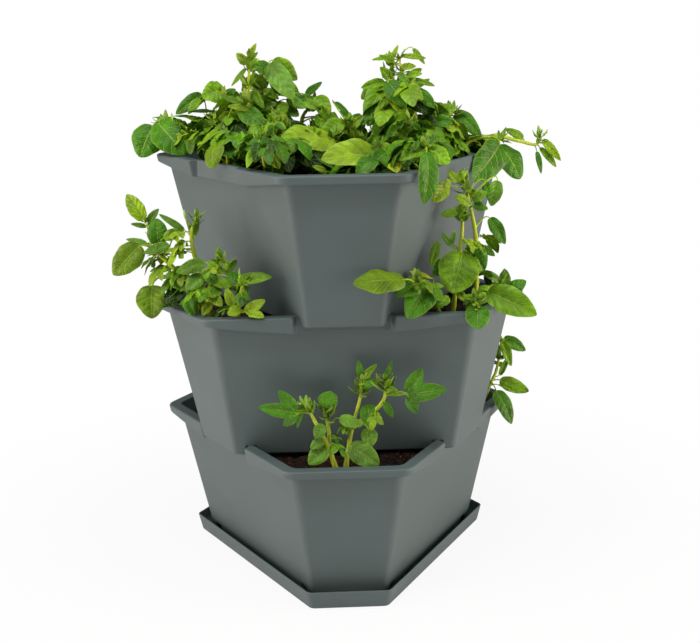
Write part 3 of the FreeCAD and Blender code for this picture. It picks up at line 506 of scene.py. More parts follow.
# Stems
# Ten young potato plants grow in the pots: five in the top one and the others in the pockets below it.
# Their stems are round, fleshy and pale yellow-green, and stand rooted in the compost.
COMPOST_LEVELS = {tier: level + POT_HEIGHT - COMPOST_DROP for tier, level in POT_LEVELS.items()}
POCKET_REACH = (RIM_SHORT - WALL + FOOT_LONG) / 2
STEM_FOOT_RADIUS, STEM_TIP_RADIUS, STEM_ROOT = 4.2, 1.7, 9
STEM_STEPS, STEM_AROUND, STEM_END = 44, 12, (0.95, 0.8, 0.45)
KNOT_SPACING, KNOT_SWELLING = 35, 0.16
GOLDEN_ANGLE = 2.4

# Shoots: the field their roots fill, its shape and its shift to the back, the point they lean away from as
# shares of the stems' middle, their height as shares of the foliage's, their lean at bend and tip, and sway
SHOOT_TRIES, SHOOT_THICKNESS, SHOOT_WALL_GAP, SHOOT_HEIGHTS = 4, 0.62, 45, (0.35, 0.7)
SHOOT_FIELD, SHOOT_FIELD_DEPTH, SHOOT_FIELD_SHIFT, SHOOT_CENTRE = 95, 1.2, 25, (0.6, 0.6, 0)
SHOOT_BEND_HEIGHT, SHOOT_BEND_LEAN, SHOOT_TIP_LEAN, SHOOT_SWAY = 0.55, 0.12, 0.38, 8

# Each plant's pot, the direction of its pocket or none for the middle of the pot, its turn, and how many
# short side shoots grow round its main stems
PLACES = {
    "top_left_plant": ("top", None, 0, 6),
    "tall_left_plant": ("top", None, 0, 9),
    "centre_plant": ("top", None, 0, 9),
    "tall_right_plant": ("top", None, 0, 9),
    "top_right_plant": ("top", None, 0, 5),
    "middle_left_plant": ("middle", 210, 0, 0),
    "middle_right_plant": ("middle", 330, 0, 0),
    "middle_back_plant": ("middle", 90, 180, 0),
    "bottom_front_plant": ("bottom", 270, 0, 0),
    "bottom_right_plant": ("bottom", 30, 0, 0),
}

# Points of each stem from its root up, from the middle of the plant's pocket at the compost's surface
STEMS = {
    "top_left_plant": [
        [(-165, 10, 0), (-195, 5, 35), (-240, 20, 68), (-285, 45, 78)],
        [(-160, 25, 0), (-172, 25, 80), (-180, 30, 122)],
        [(-170, -60, 0), (-170, -90, 45), (-178, -108, 60)],
    ],
    "tall_left_plant": [
        [(-120, -80, 0), (-135, -90, 70), (-135, -95, 125), (-130, -100, 180)],
        [(-105, -60, 0), (-115, -60, 100), (-110, -60, 152)],
        [(-105, -150, 0), (-114, -184, 50), (-115, -190, 62)],
    ],
    "centre_plant": [
        [(-55, -60, 0), (-55, -60, 80), (-36, -60, 108)],
        [(25, -105, 0), (25, -118, 50), (12, -120, 84)],
        [(40, -165, 0), (50, -192, 38), (52, -206, 44)],
        [(-50, -115, 0), (-30, -143, 50)],
    ],
    "tall_right_plant": [
        [(120, -60, 0), (120, -80, 80), (110, -80, 120), (95, -80, 174)],
        [(100, -40, 0), (95, -40, 95), (90, -40, 140), (85, -46, 172)],
        [(115, -165, 0), (118, -212, 48), (120, -236, 54)],
    ],
    "top_right_plant": [
        [(185, 10, 0), (215, 10, 38), (252, 10, 46), (272, 20, 42)],
        [(160, 20, 0), (170, 20, 60), (195, 20, 90)],
        [(232, 70, 0), (262, 80, 40), (310, 92, 32), (345, 100, 24), (352, 100, 42)],
    ],
    "middle_left_plant": [
        [(-26, -16, 0), (-55, -15, 65), (-85, -10, 105), (-108, 0, 152)],
        [(-16, -28, 0), (-45, -32, 60), (-75, -32, 95), (-98, -30, 118)],
        [(-5, -42, 0), (-30, -52, 100), (-35, -56, 140), (-27, -56, 168)],
        [(-10, -60, 0), (-12, -68, 50), (0, -75, 90), (10, -76, 104)],
        [(28, -76, 0), (35, -92, 50), (44, -100, 80)],
    ],
    "middle_right_plant": [
        [(-20, -40, 0), (-10, -42, 90), (-5, -42, 135), (-5, -38, 165)],
        [(20, -20, 0), (20, -20, 110), (10, -22, 170), (-2, -24, 216)],
        [(-35, -58, 0), (-60, -84, 62), (-86, -124, 74)],
        [(20, -8, 0), (45, 0, 38), (62, 6, 42)],
        [(8, -50, 0), (8, -90, 36), (6, -108, 42)],
    ],
    "bottom_front_plant": [
        [(-12, -14, 0), (-25, -6, 35), (-26, 0, 65), (-34, 3, 100)],
        [(-4, -14, 0), (3, -2, 32), (10, 5, 65), (22, 8, 108), (26, 6, 138)],
        [(10, 5, 65), (42, 0, 90), (58, -4, 112), (60, -5, 140)],
        [(-25, -6, 35), (-42, -8, 70), (-60, -6, 108)],
    ],
    "bottom_right_plant": [
        [(60, -35, 0), (76, -35, 34), (90, -30, 64), (98, -30, 114)],
    ],
}
STEMS["middle_back_plant"] = STEMS["bottom_front_plant"]

# How high the foliage of the top pot stands above its compost, from left to right. Thirty points of its
# outline were read off the photograph by eye, and a scratch script turned them into these millimetres with
# the camera's values at the end of this script.
CANOPY_ACROSS = [
    -313, -288, -265, -241, -218, -195, -167, -148, -132, -114, -86, -68, -57, -33, -13,
    2, 23, 39, 55, 75, 98, 117, 132, 151, 170, 189, 211, 230, 255, 287,
]
CANOPY_HEIGHT = [
    58, 80, 90, 105, 114, 121, 121, 131, 152, 160, 160, 139, 114, 114, 107,
    86, 85, 107, 125, 133, 142, 139, 126, 105, 95, 86, 64, 45, 32, 15,
]


def unit(vectors):
    """Vectors of length one."""
    return vectors / np.maximum(np.linalg.norm(vectors, axis=-1, keepdims=True), 1e-9)


def curved(points, count):
    """A smooth line through points: a Catmull-Rom curve, whose pieces are cubics with the slope at each
    point set by its neighbours."""
    padded = np.concatenate([2 * points[:1] - points[1:2], points, 2 * points[-1:] - points[-2:-1]])
    place = np.linspace(0, len(points) - 1, count)
    piece = np.minimum(place.astype(int), len(points) - 2)
    t = (place - piece)[:, None]
    a, b, c, d = (padded[piece + k] for k in range(4))
    square, cube = 2 * a - 5 * b + 4 * c - d, 3 * b - a - 3 * c + d
    return 0.5 * (2 * b + (c - a) * t + square * t ** 2 + cube * t ** 3)


def arched(start, bend, end, t):
    """A quadratic curve: start * (1 - t)^2 + bend * 2t (1 - t) + end * t^2."""
    return start * (1 - t) ** 2 + bend * 2 * t * (1 - t) + end * t ** 2


def tubes(lines, radii, around):
    """Round closed tubes: each ring is line point + radius * (sin * upper - cos * side), square to the line.

    The first and last rings are points, so that both ends are shut.
    """
    direction = unit(np.gradient(lines, axis=1))
    mean = unit(lines[:, -1:] - lines[:, :1])
    helper = np.where(np.abs(mean[..., 2:]) > 0.8, np.array([0.0, 1.0, 0.0]), np.array([0.0, 0.0, 1.0]))
    side = unit(np.cross(direction, helper))
    upper = np.cross(side, direction)
    angle = np.linspace(0, math.tau, around, endpoint=False)[:, None]
    ring = -np.cos(angle) * side[:, :, None] + np.sin(angle) * upper[:, :, None]
    rings = lines[:, :, None] + radii[:, :, None, None] * ring
    ends = np.ones((1, 1, around, 1))
    return np.concatenate([lines[:, :1, None] * ends, rings, lines[:, -1:, None] * ends], axis=1)


def in_pot(points, tier, margin):
    """Whether points lie inside a pot's wall, by a margin.

    The reach along each of the six sides' directions is less than that side's, at the point's height.
    """
    lean = np.clip((points[..., 2:] - POT_LEVELS[tier]) / POT_HEIGHT, 0, 1)
    headings = np.radians(np.array([-90, 30, 150, -30, 90, 210]) + POT_TURNS[tier])
    reach = points[..., :2] @ np.stack([np.cos(headings), np.sin(headings)])
    short, long = between(FOOT_SHORT, RIM_SHORT, lean), between(FOOT_LONG, RIM_LONG, lean)
    sides = np.concatenate([short, short, short, long, long, long], axis=-1)
    return (reach < sides - margin).all(axis=-1)


def side_shoots(stems, tier, count, draw):
    """Short shoots round a plant: their roots lie on a sunflower spiral round its stems, and they lean out.

    A root is the middle of the stems' roots + spread * direction, where the spread grows with the square
    root of its order and the direction turns by the golden angle.
    """
    middle = np.array([stem[0] for stem in stems]).mean(axis=0)
    order = np.arange(count * SHOOT_TRIES)
    angle = order * GOLDEN_ANGLE
    spread = SHOOT_FIELD * np.sqrt((order + 0.5) / count / SHOOT_TRIES)
    deep = SHOOT_FIELD_DEPTH * spread * np.sin(angle) + SHOOT_FIELD_SHIFT
    root = middle + np.stack([spread * np.cos(angle), deep, 0 * angle], axis=1)
    root[:, 2] = COMPOST_LEVELS[tier] - STEM_ROOT
    kept = root[in_pot(root, tier, SHOOT_WALL_GAP)][:count]
    height = np.interp(kept[:, 0], CANOPY_ACROSS, CANOPY_HEIGHT) * draw.uniform(*SHOOT_HEIGHTS, len(kept))
    out = unit(kept - [0, 0, 1] * kept - middle * SHOOT_CENTRE)
    shoots = []
    for base, rise, away in zip(kept, height, out):
        sway = draw.uniform(-SHOOT_SWAY, SHOOT_SWAY, 3) * [1, 1, 0]
        lift = np.array([0, 0, STEM_ROOT + rise * SHOOT_BEND_HEIGHT])
        bend = base + away * rise * SHOOT_BEND_LEAN + lift + sway
        tip = base + away * rise * SHOOT_TIP_LEAN + np.array([0, 0, STEM_ROOT + rise])
        shoots.append(np.stack([base, bend, tip]))
    return shoots


def stem_tubes(stems, thickness):
    """Fleshy stems, as their middle lines and closed tubes: they taper from foot to tip, swell a little at
    the knots where leaves grow, and end round."""
    lines = np.stack([curved(stem, STEM_STEPS) for stem in stems])
    share = np.linspace(0, 1, STEM_STEPS)
    length = np.linalg.norm(np.diff(lines, axis=1), axis=2).sum(axis=1)[:, None]
    swelling = KNOT_SWELLING * np.cos(math.tau * share * length / KNOT_SPACING) ** 8
    radius = thickness[:, None] * between(STEM_FOOT_RADIUS, STEM_TIP_RADIUS, share) * (1 + swelling)
    radius[:, -len(STEM_END):] *= np.array(STEM_END)
    return lines, tubes(lines, radius, STEM_AROUND)


def stem_flesh():
    """Pale yellow-green stem with faint lengthwise streaks, waxy and smooth."""
    material, tree, shader = new_material("stem_flesh", roughness=0.42, gloss=0.35)
    streak = noise(tree, scale=260, squeeze=(1, 1, 0.12))
    skin = two_tones(tree, streak, 0.3, (0.30, 0.43, 0.012), 0.72, (0.62, 0.68, 0.04))
    tree.links.new(skin, shader.inputs["Base Color"])
    raise_skin(tree, shader, streak, strength=0.3, distance=0.0006)
    return material


def turned_by(degrees):
    """The matrix that turns rows of points round the vertical, as rows @ matrix."""
    return np.array(Matrix.Rotation(math.radians(degrees), 3, "Z")).T


stem_green = stem_flesh()
pocket_centres, stem_lines = {}, {}
for seed, (name, (tier, direction, turn, shoot_count)) in enumerate(PLACES.items()):
    draw = np.random.default_rng(40 + seed)
    heading = math.radians(direction or 0)
    reach = 0.0 if direction is None else POCKET_REACH
    centre = np.array([reach * math.cos(heading), reach * math.sin(heading), COMPOST_LEVELS[tier]])
    stems = [centre + np.array(stem, float) @ turned_by(turn) for stem in STEMS[name]]
    for stem in stems:
        if stem[0, 2] == COMPOST_LEVELS[tier]:
            stem[0, 2] -= STEM_ROOT
    shoots = side_shoots(stems, tier, shoot_count, draw) if shoot_count else []
    thickness = np.array([1.0] * len(stems) + [SHOOT_THICKNESS] * len(shoots))
    pocket_centres[name] = centre
    stem_lines[name], grid = stem_tubes(stems + shoots, thickness)
    stalks = closed_mesh(name + "_stalks", grid)
    new_piece(name + "_stalks", stalks, stem_green, "stems", tier, name + "_stems")

# Leaves
# Potato leaves: a stalk arches out of the stem and carries pairs of soft, broad, quilted leaflets and one at
# its tip. The old ones are large and deep green, the young ones at the shoots narrow, curled and yellowish.
LEAF_THICKNESS = 0.6
LARGE_GRID, SMALL_GRID = (20, 11, 0.012), (6, 5, 0.05)
BLADE_LEAN, BLADE_FULLNESS, HEART_DEPTH = 0.72, 0.6, 0.10
EDGE_RIPPLE, EDGE_WAVE, QUILT_HEIGHT = 0.02, 0.16, 0.12
VEIN_PAIRS, VEIN_SLANT, VEIN_STRAIGHTENING = 5, 0.34, 0.3
RIB_DEPTH, RIB_SHARE = 0.045, 0.12
# The pale green of the veins, which also colours the painted rim light along a leaf's edge
VEIN_AND_RIM_LIGHT_GREEN = (0.48, 0.62, 0.11, 1)
# How much of the side veins and of the painted rim light shows, how pale they make the green, and how much
# light comes through
SIDE_VEIN_SHARE, RIM_LIGHT_SHARE, PALENESS, LIGHT_THROUGH = 0.8, 0.4, 0.68, 0.18
STALK_RADIUS, STALK_OVERLAP, STALK_STEPS, STALK_AROUND = 1.1, 1.5, 10, 6
STALK_FOOT_THICKNESS, STALK_TIP_THICKNESS, STALK_SHADES = 1.2, 0.7, (0.9, 1.5)
BETWEEN_VEINS = (0.5, 0.241)

# A large leaf's stalk: how far below the leaf it leaves the stem, how long it runs in line with the blade,
# how it lifts there, and its thickness, which grows with the leaf's width
STALK_CLIMB, STALK_RUN_IN, STALK_LIFT = 10, 0.45, 0.1
LARGE_STALK_LEAST, LARGE_STALK_SLIMNESS, LARGE_SHADES = 0.6, 55, (0.85, 1.15)

# The seven leaflets of a stalk: where they stand along it, their sizes and sides, the spread of their widths
# and lengths, how they droop, splay and scatter, which way they face, and how the stalk rises and arches
LEAFLET_PLACES = (0.42, 0.42, 0.64, 0.64, 0.84, 0.84, 1.0)
LEAFLET_SIZES = (0.62, 0.62, 0.8, 0.8, 0.9, 0.9, 1.2)
LEAFLET_SIDES = (1, -1, 1, -1, 1, -1, 0)
LEAFLET_WIDTHS, LEAFLET_LENGTHS = (0.56, 0.74), (0.75, 1.2)
LEAFLET_DROOP, LEAFLET_SPLAY, LEAFLET_JITTER = 0.42, 0.4, 0.22
FACING_OUT, FACING_UP, FACING_JITTER = 0.8, 0.75, 0.25
SPRAY_RISE, SPRAY_OUT, SPRAY_DROOP = 0.6, 0.55, 0.28

# The stalks of one plant: the stretch of stem where they grow, how steeply they leave it, how far they swing
# from the spiral, how large they are at the foot and how much of it is lost at the tip, and their spread
SPRAY_ZONE, SPRAY_STEEPNESS, SPRAY_SWING = (0.12, 0.97), (0.2, 1.1), 0.5
FOOT_VIGOUR, TIP_LOSS, SPRAY_LENGTHS, SPRAY_SIZES = 1.15, 0.6, (0.7, 1.3), (0.8, 1.2)
SMALL_STALK_LEAST, SMALL_STALK_SLIMNESS, SMALL_SHADES = 0.45, 60, (0.8, 1.2)
GREEN_LEVELS, GREEN_SCATTER = (0.0, 0.35, 0.7, 1.0), 0.16

# From which ranges the fold, curl, arch, droop, twist and wave of large and of small blades are drawn
LARGE_SHAPES = ((0.18, 0.46), (0.08, 0.40), (0.03, 0.12), (0.0, 0.12), (-0.5, 0.5), (0.2, 0.9))
SMALL_SHAPES = ((0.15, 0.5), (0.05, 0.45), (0.03, 0.16), (0.0, 0.2), (-0.8, 0.8), (0.2, 1.0))

# Greens, from the shaded undergrowth to the young tips. The deepest is partly the old leaves' own deep
# green and partly painted shade of the undergrowth
DEEP_AND_SHADED = (0.015, 0.055, 0.005)
LEAF = (0.060, 0.222, 0.004)
GREY = (0.135, 0.310, 0.022)
BRIGHT = (0.185, 0.385, 0.007)
OLIVE = (0.140, 0.255, 0.004)
LIME = (0.270, 0.430, 0.012)
YELLOW = (0.460, 0.530, 0.010)
YOUNG = (0.38, 0.56, 0.08)

# Which way a leaf's upper face looks
FRONT = (0, -1, 0.4)
UP = (0, -0.3, 1)
SKYWARD = (0, -0.7, 0.7)
LEFT = (-0.6, -0.8, 0.3)
RIGHT = (0.5, -0.9, 0.3)

# The large leaves, each as foot of the blade, tip, width, facing and green, measured as the stems are. For
# the plants of the top pot and the two in front in the middle one, both ends and the width were read off the
# photograph by eye, each end with a guessed depth, and a scratch script turned them into these millimetres
# with the same camera. The lowest pot's plants were typed in one by one.
# A large leaf in the deepest green is darkened as painted shade
LEAVES = {
    "top_left_plant": [
        ((-298, 52, 67), (-319, 40, 21), 54, FRONT, LEAF),
        ((-285, 38, 74), (-243, 5, 27), 60, FRONT, LEAF),
        ((-267, 70, 78), (-299, 70, 83), 18, UP, BRIGHT),
        ((-215, 40, 119), (-255, 15, 91), 26, FRONT, LEAF),
        ((-218, 30, 113), (-235, 10, 91), 15, FRONT, BRIGHT),
        ((-179, 30, 126), (-212, 15, 117), 39, FRONT, BRIGHT),
        ((-183, 40, 116), (-191, 45, 141), 18, FRONT, BRIGHT),
        ((-178, 35, 114), (-159, 35, 128), 18, FRONT, LEAF),
        ((-173, 0, 89), (-233, -20, 96), 16, UP, DEEP_AND_SHADED),
        ((-217, 20, 79), (-263, 30, 87), 18, UP, BRIGHT),
        ((-195, -40, 68), (-232, -50, 55), 14, UP, LIME),
        ((-184, -110, 58), (-192, -140, 20), 36, LEFT, OLIVE),
        ((-177, -100, 54), (-149, -130, 31), 21, FRONT, LEAF),
        ((-152, -80, 85), (-166, -110, 49), 46, FRONT, DEEP_AND_SHADED),
        ((-147, -90, 104), (-108, -110, 76), 31, FRONT, LEAF),
        ((-207, -60, 40), (-179, -80, 32), 14, UP, DEEP_AND_SHADED),
    ],
    "tall_left_plant": [
        ((-114, -190, 65), (-136, -215, 28), 23, LEFT, BRIGHT),
        ((-114, -190, 65), (-89, -215, 26), 26, FRONT, LIME),
        ((-82, -185, 56), (-75, -215, 20), 25, FRONT, DEEP_AND_SHADED),
        ((-136, -100, 172), (-150, -105, 187), 15, FRONT, LIME),
        ((-133, -100, 177), (-120, -100, 201), 10, FRONT, LIME),
        ((-133, -100, 172), (-118, -100, 188), 8, FRONT, BRIGHT),
        ((-137, -100, 164), (-159, -110, 139), 8, FRONT, BRIGHT),
        ((-104, -60, 162), (-130, -75, 167), 24, FRONT, LEAF),
        ((-101, -66, 168), (-67, -100, 117), 36, FRONT, GREY),
        ((-95, -50, 173), (-60, -40, 144), 30, FRONT, BRIGHT),
        ((-125, -60, 126), (-104, -60, 141), 14, FRONT, LIME),
        ((-133, -80, 111), (-149, -90, 122), 14, FRONT, LIME),
        ((-121, -80, 103), (-92, -85, 112), 16, FRONT, GREY),
        ((-106, -70, 97), (-80, -75, 112), 17, FRONT, BRIGHT),
        ((-82, -70, 97), (-106, -100, 78), 23, FRONT, LIME),
        ((-100, -110, 91), (-87, -130, 64), 24, FRONT, BRIGHT),
        ((-83, -60, 104), (-59, -80, 91), 22, FRONT, GREY),
        ((-99, -40, 144), (-80, -50, 120), 19, FRONT, LEAF),
        ((-80, -50, 144), (-58, -60, 125), 14, FRONT, BRIGHT),
        ((-137, -90, 132), (-148, -95, 110), 12, FRONT, GREY),
        ((-139, -90, 111), (-174, -95, 123), 11, FRONT, GREY),
        ((-130, -95, 105), (-166, -100, 109), 12, FRONT, LIME),
        ((-128, -85, 129), (-112, -95, 105), 14, FRONT, BRIGHT),
        ((-111, -70, 131), (-89, -80, 117), 14, FRONT, BRIGHT),
        ((-114, -70, 140), (-128, -80, 158), 12, FRONT, GREY),
        ((-119, -80, 176), (-136, -85, 166), 12, FRONT, BRIGHT),
        ((-75, -70, 118), (-48, -80, 103), 18, FRONT, GREY),
        ((-78, -80, 110), (-94, -90, 87), 18, FRONT, BRIGHT),
        ((-94, -90, 99), (-76, -100, 76), 20, FRONT, LIME),
    ],
    "centre_plant": [
        ((-47, -60, 122), (-22, -60, 141), 13, FRONT, LEAF),
        ((-37, -64, 114), (-61, -70, 118), 17, FRONT, LEAF),
        ((-29, -60, 118), (-13, -80, 84), 28, FRONT, BRIGHT),
        ((-49, -70, 113), (-30, -80, 101), 17, FRONT, BRIGHT),
        ((-4, -90, 111), (19, -95, 91), 10, FRONT, LEAF),
        ((-11, -152, 60), (-86, -188, 69), 52, SKYWARD, LIME),
        ((51, -210, 38), (-30, -244, 41), 56, SKYWARD, LIME),
        ((4, -124, 84), (-27, -136, 64), 28, FRONT, BRIGHT),
        ((-64, -168, 45), (-30, -200, 27), 27, FRONT, DEEP_AND_SHADED),
        ((66, -222, 42), (76, -256, 22), 30, SKYWARD, YELLOW),
        ((72, -202, 49), (47, -204, 54), 19, FRONT, LIME),
        ((21, -100, 76), (40, -95, 91), 13, FRONT, LIME),
        ((-23, -230, 22), (-43, -240, 32), 13, SKYWARD, LIME),
        ((22, -80, 87), (43, -100, 79), 21, FRONT, LEAF),
        ((-29, -60, 117), (-46, -66, 98), 15, FRONT, BRIGHT),
        ((22, -80, 84), (3, -80, 98), 12, FRONT, LEAF),
        ((12, -90, 70), (-10, -95, 85), 20, FRONT, BRIGHT),
        ((-56, -60, 123), (-74, -66, 110), 15, FRONT, BRIGHT),
        ((28, -90, 66), (43, -90, 84), 15, FRONT, GREY),
    ],
    "tall_right_plant": [
        ((86, -80, 179), (55, -60, 173), 9, FRONT, BRIGHT),
        ((100, -80, 179), (136, -85, 175), 10, FRONT, LIME),
        ((74, -50, 136), (43, -90, 83), 38, FRONT, BRIGHT),
        ((67, -42, 136), (39, -46, 113), 25, FRONT, BRIGHT),
        ((78, -86, 139), (102, -105, 105), 34, FRONT, LEAF),
        ((84, -52, 143), (68, -56, 162), 17, FRONT, BRIGHT),
        ((116, -70, 142), (150, -80, 133), 10, FRONT, BRIGHT),
        ((113, -72, 148), (131, -72, 159), 13, FRONT, LIME),
        ((122, -82, 128), (149, -90, 100), 19, FRONT, LEAF),
        ((81, -98, 57), (103, -110, 96), 42, FRONT, BRIGHT),
        ((145, -60, 82), (185, -60, 101), 28, FRONT, BRIGHT),
        ((143, -50, 90), (166, -50, 105), 18, FRONT, BRIGHT),
        ((149, -80, 78), (177, -90, 79), 23, FRONT, LEAF),
        ((133, -80, 85), (150, -100, 69), 25, FRONT, DEEP_AND_SHADED),
        ((116, -235, 51), (79, -250, 38), 26, SKYWARD, BRIGHT),
        ((121, -235, 55), (152, -246, 33), 34, SKYWARD, BRIGHT),
        ((117, -258, 49), (111, -284, -19), 36, RIGHT, LEAF),
        ((117, -230, 53), (135, -222, 71), 18, FRONT, LEAF),
        ((111, -120, 66), (93, -150, 43), 26, FRONT, BRIGHT),
        ((117, -80, 189), (134, -85, 166), 9, FRONT, BRIGHT),
        ((84, -80, 174), (94, -80, 195), 8, FRONT, LIME),
        ((83, -80, 170), (65, -80, 181), 9, FRONT, BRIGHT),
        ((98, -80, 161), (121, -80, 163), 12, FRONT, LIME),
        ((106, -80, 149), (130, -85, 152), 12, FRONT, BRIGHT),
        ((109, -80, 143), (148, -85, 135), 11, FRONT, BRIGHT),
        ((111, -84, 128), (142, -84, 144), 11, FRONT, GREY),
        ((113, -84, 125), (146, -90, 111), 17, FRONT, LEAF),
        ((74, -50, 139), (38, -60, 131), 17, FRONT, BRIGHT),
        ((84, -84, 113), (59, -90, 94), 20, FRONT, BRIGHT),
        ((65, -84, 107), (92, -94, 85), 21, FRONT, BRIGHT),
        ((59, -80, 95), (45, -90, 75), 18, FRONT, LEAF),
        ((114, -84, 107), (138, -90, 93), 18, FRONT, DEEP_AND_SHADED),
        ((108, -90, 137), (93, -90, 155), 14, FRONT, GREY),
    ],
    "top_right_plant": [
        ((198, 20, 86), (235, 0, 46), 27, FRONT, LEAF),
        ((160, 30, 49), (225, 10, 34), 18, UP, DEEP_AND_SHADED),
        ((195, 30, 78), (210, 20, 52), 17, FRONT, BRIGHT),
        ((204, 10, 44), (239, 0, 52), 13, UP, BRIGHT),
        ((261, -16, 34), (211, -74, -14), 56, RIGHT, LEAF),
        ((267, 5, 30), (296, -18, -20), 53, RIGHT, LEAF),
        ((280, 62, 34), (242, 58, 44), 15, UP, GREY),
        ((321, 96, 36), (290, 92, 52), 16, FRONT, BRIGHT),
        ((357, 100, 31), (385, 86, -3), 17, FRONT, LIME),
        ((353, 104, 17), (380, 98, -15), 14, FRONT, BRIGHT),
        ((345, 92, 12), (351, 82, -24), 11, FRONT, LEAF),
        ((171, 20, 35), (197, 0, 27), 21, UP, DEEP_AND_SHADED),
    ],
    "middle_left_plant": [
        ((-112, 0, 158), (-136, 10, 195), 28, FRONT, LIME),
        ((-117, -32, 120), (-156, -42, 80), 46, FRONT, OLIVE),
        ((-101, -24, 55), (-102, -38, 10), 50, FRONT, OLIVE),
        ((-89, -18, 123), (-90, -10, 160), 34, FRONT, LEAF),
        ((-78, -24, 132), (-48, -26, 144), 19, FRONT, BRIGHT),
        ((-47, -41, 146), (-83, -41, 171), 11, FRONT, GREY),
        ((-105, 4, 152), (-88, 8, 172), 13, FRONT, GREY),
        ((-108, -1, 146), (-131, -1, 151), 9, FRONT, GREY),
        ((-108, -9, 122), (-139, -4, 128), 10, FRONT, GREY),
        ((-72, -36, 123), (-109, -39, 112), 17, FRONT, GREY),
        ((-30, -54, 139), (-24, -49, 168), 10, FRONT, GREY),
        ((-31, -51, 141), (-39, -51, 160), 8, FRONT, GREY),
        ((-18, -72, 101), (-58, -81, 89), 22, FRONT, GREY),
        ((-22, -72, 81), (-44, -86, 64), 25, FRONT, GREY),
        ((6, -81, 61), (-26, -96, 53), 23, SKYWARD, BRIGHT),
        ((-55, -36, 53), (-82, -46, 39), 26, SKYWARD, DEEP_AND_SHADED),
        ((-56, -46, 34), (-83, -61, 32), 18, UP, DEEP_AND_SHADED),
        ((-45, -61, 46), (-34, -81, 21), 23, FRONT, LEAF),
        ((-14, -71, 90), (0, -81, 71), 22, FRONT, LEAF),
        ((9, -76, 86), (-12, -71, 104), 15, FRONT, BRIGHT),
        ((14, -76, 87), (32, -71, 104), 15, FRONT, GREY),
        ((17, -81, 82), (38, -86, 78), 18, FRONT, LEAF),
        ((-4, -76, 74), (26, -86, 68), 17, FRONT, BRIGHT),
        ((35, -96, 79), (84, -106, 84), 23, SKYWARD, BRIGHT),
        ((44, -106, 33), (73, -106, 50), 18, FRONT, LIME),
        ((49, -111, 32), (71, -119, 27), 17, SKYWARD, LIME),
        ((24, -96, 41), (16, -96, 67), 17, FRONT, LIME),
        ((31, -96, 44), (49, -101, 62), 17, FRONT, BRIGHT),
        ((35, -101, 38), (18, -116, 31), 17, FRONT, LIME),
        ((-9, -86, 43), (-21, -96, 27), 15, FRONT, LIME),
        ((-5, -86, 54), (9, -96, 40), 17, FRONT, LIME),
        ((-32, -71, 68), (-15, -81, 53), 18, FRONT, BRIGHT),
        ((-68, -41, 73), (-54, -46, 55), 16, FRONT, GREY),
    ],
    "middle_right_plant": [
        ((-105, -144, 83), (-178, -169, 84), 42, SKYWARD, OLIVE),
        ((-62, -91, 68), (-114, -131, 55), 29, SKYWARD, LEAF),
        ((-60, -92, 65), (-98, -130, 23), 46, FRONT, LEAF),
        ((-8, -54, 99), (-25, -82, 48), 64, FRONT, BRIGHT),
        ((2, -36, 104), (32, -31, 72), 46, FRONT, LEAF),
        ((-28, -46, 89), (-52, -66, 72), 27, FRONT, LEAF),
        ((0, -49, 92), (25, -51, 76), 27, SKYWARD, BRIGHT),
        ((-29, -36, 207), (-51, -51, 182), 26, RIGHT, LIME),
        ((-13, -31, 210), (-26, -31, 227), 14, FRONT, LIME),
        ((-12, -31, 212), (2, -31, 225), 13, FRONT, LIME),
        ((-23, -36, 204), (-39, -41, 215), 14, FRONT, LIME),
        ((53, -10, 205), (44, -10, 168), 26, FRONT, GREY),
        ((34, -11, 205), (42, -13, 178), 16, FRONT, LEAF),
        ((-13, -39, 164), (-38, -46, 161), 16, FRONT, BRIGHT),
        ((7, -36, 176), (-16, -41, 189), 17, FRONT, LIME),
        ((13, -31, 181), (34, -31, 193), 16, FRONT, BRIGHT),
        ((14, -31, 173), (36, -31, 167), 16, FRONT, LEAF),
        ((1, -36, 164), (-13, -41, 174), 14, FRONT, BRIGHT),
        ((43, -10, 148), (65, -20, 110), 23, FRONT, LEAF),
        ((-42, -46, 120), (-55, -63, 85), 16, FRONT, BRIGHT),
        ((-24, -46, 114), (-36, -46, 135), 10, FRONT, GREY),
        ((-22, -46, 118), (-16, -46, 138), 9, FRONT, GREY),
        ((-53, -76, 69), (-90, -96, 86), 18, UP, YELLOW),
        ((32, -11, 105), (50, -16, 91), 13, FRONT, LEAF),
        ((60, -1, 48), (30, -6, 67), 15, FRONT, GREY),
        ((72, 4, 40), (71, 9, 65), 15, FRONT, GREY),
        ((71, 9, 25), (105, 11, 45), 27, FRONT, LEAF),
        ((37, -51, 40), (103, -86, 12), 50, FRONT, BRIGHT),
        ((48, -16, 36), (4, -41, 20), 32, SKYWARD, BRIGHT),
        ((9, -114, 33), (5, -136, 5), 39, FRONT, LEAF),
        ((-15, -71, 47), (-1, -81, 34), 14, FRONT, LIME),
        ((-31, -81, 42), (-45, -96, 32), 16, FRONT, BRIGHT),
        ((24, -16, 47), (12, -11, 59), 14, FRONT, LIME),
    ],
    "bottom_front_plant": [
        ((-76, -14, 96), (-130, -24, 110), 24, FRONT, LEAF),
        ((-76, -12, 100), (-100, -15, 132), 21, FRONT, LEAF),
        ((-76, -16, 92), (-94, -30, 82), 17, FRONT, LEAF),
        ((-64, -6, 108), (-74, -14, 72), 9, FRONT, LEAF),
        ((-14, 2, 108), (-42, -6, 116), 28, FRONT, LEAF),
        ((-8, -4, 82), (24, -16, 74), 20, FRONT, GREY),
        ((34, 4, 98), (36, -14, 70), 28, FRONT, LEAF),
        ((34, 0, 62), (36, -16, 40), 27, FRONT, GREY),
        ((8, -8, 38), (48, -30, 16), 38, FRONT, GREY),
        ((-36, -8, 74), (-46, -20, 56), 22, FRONT, GREY),
        ((-36, -10, 52), (-54, -24, 42), 18, FRONT, GREY),
        ((-32, -8, 38), (-58, -30, 20), 31, FRONT, GREY),
        ((26, 4, 142), (48, 2, 164), 12, FRONT, BRIGHT),
        ((24, 4, 142), (20, 4, 170), 12, FRONT, LEAF),
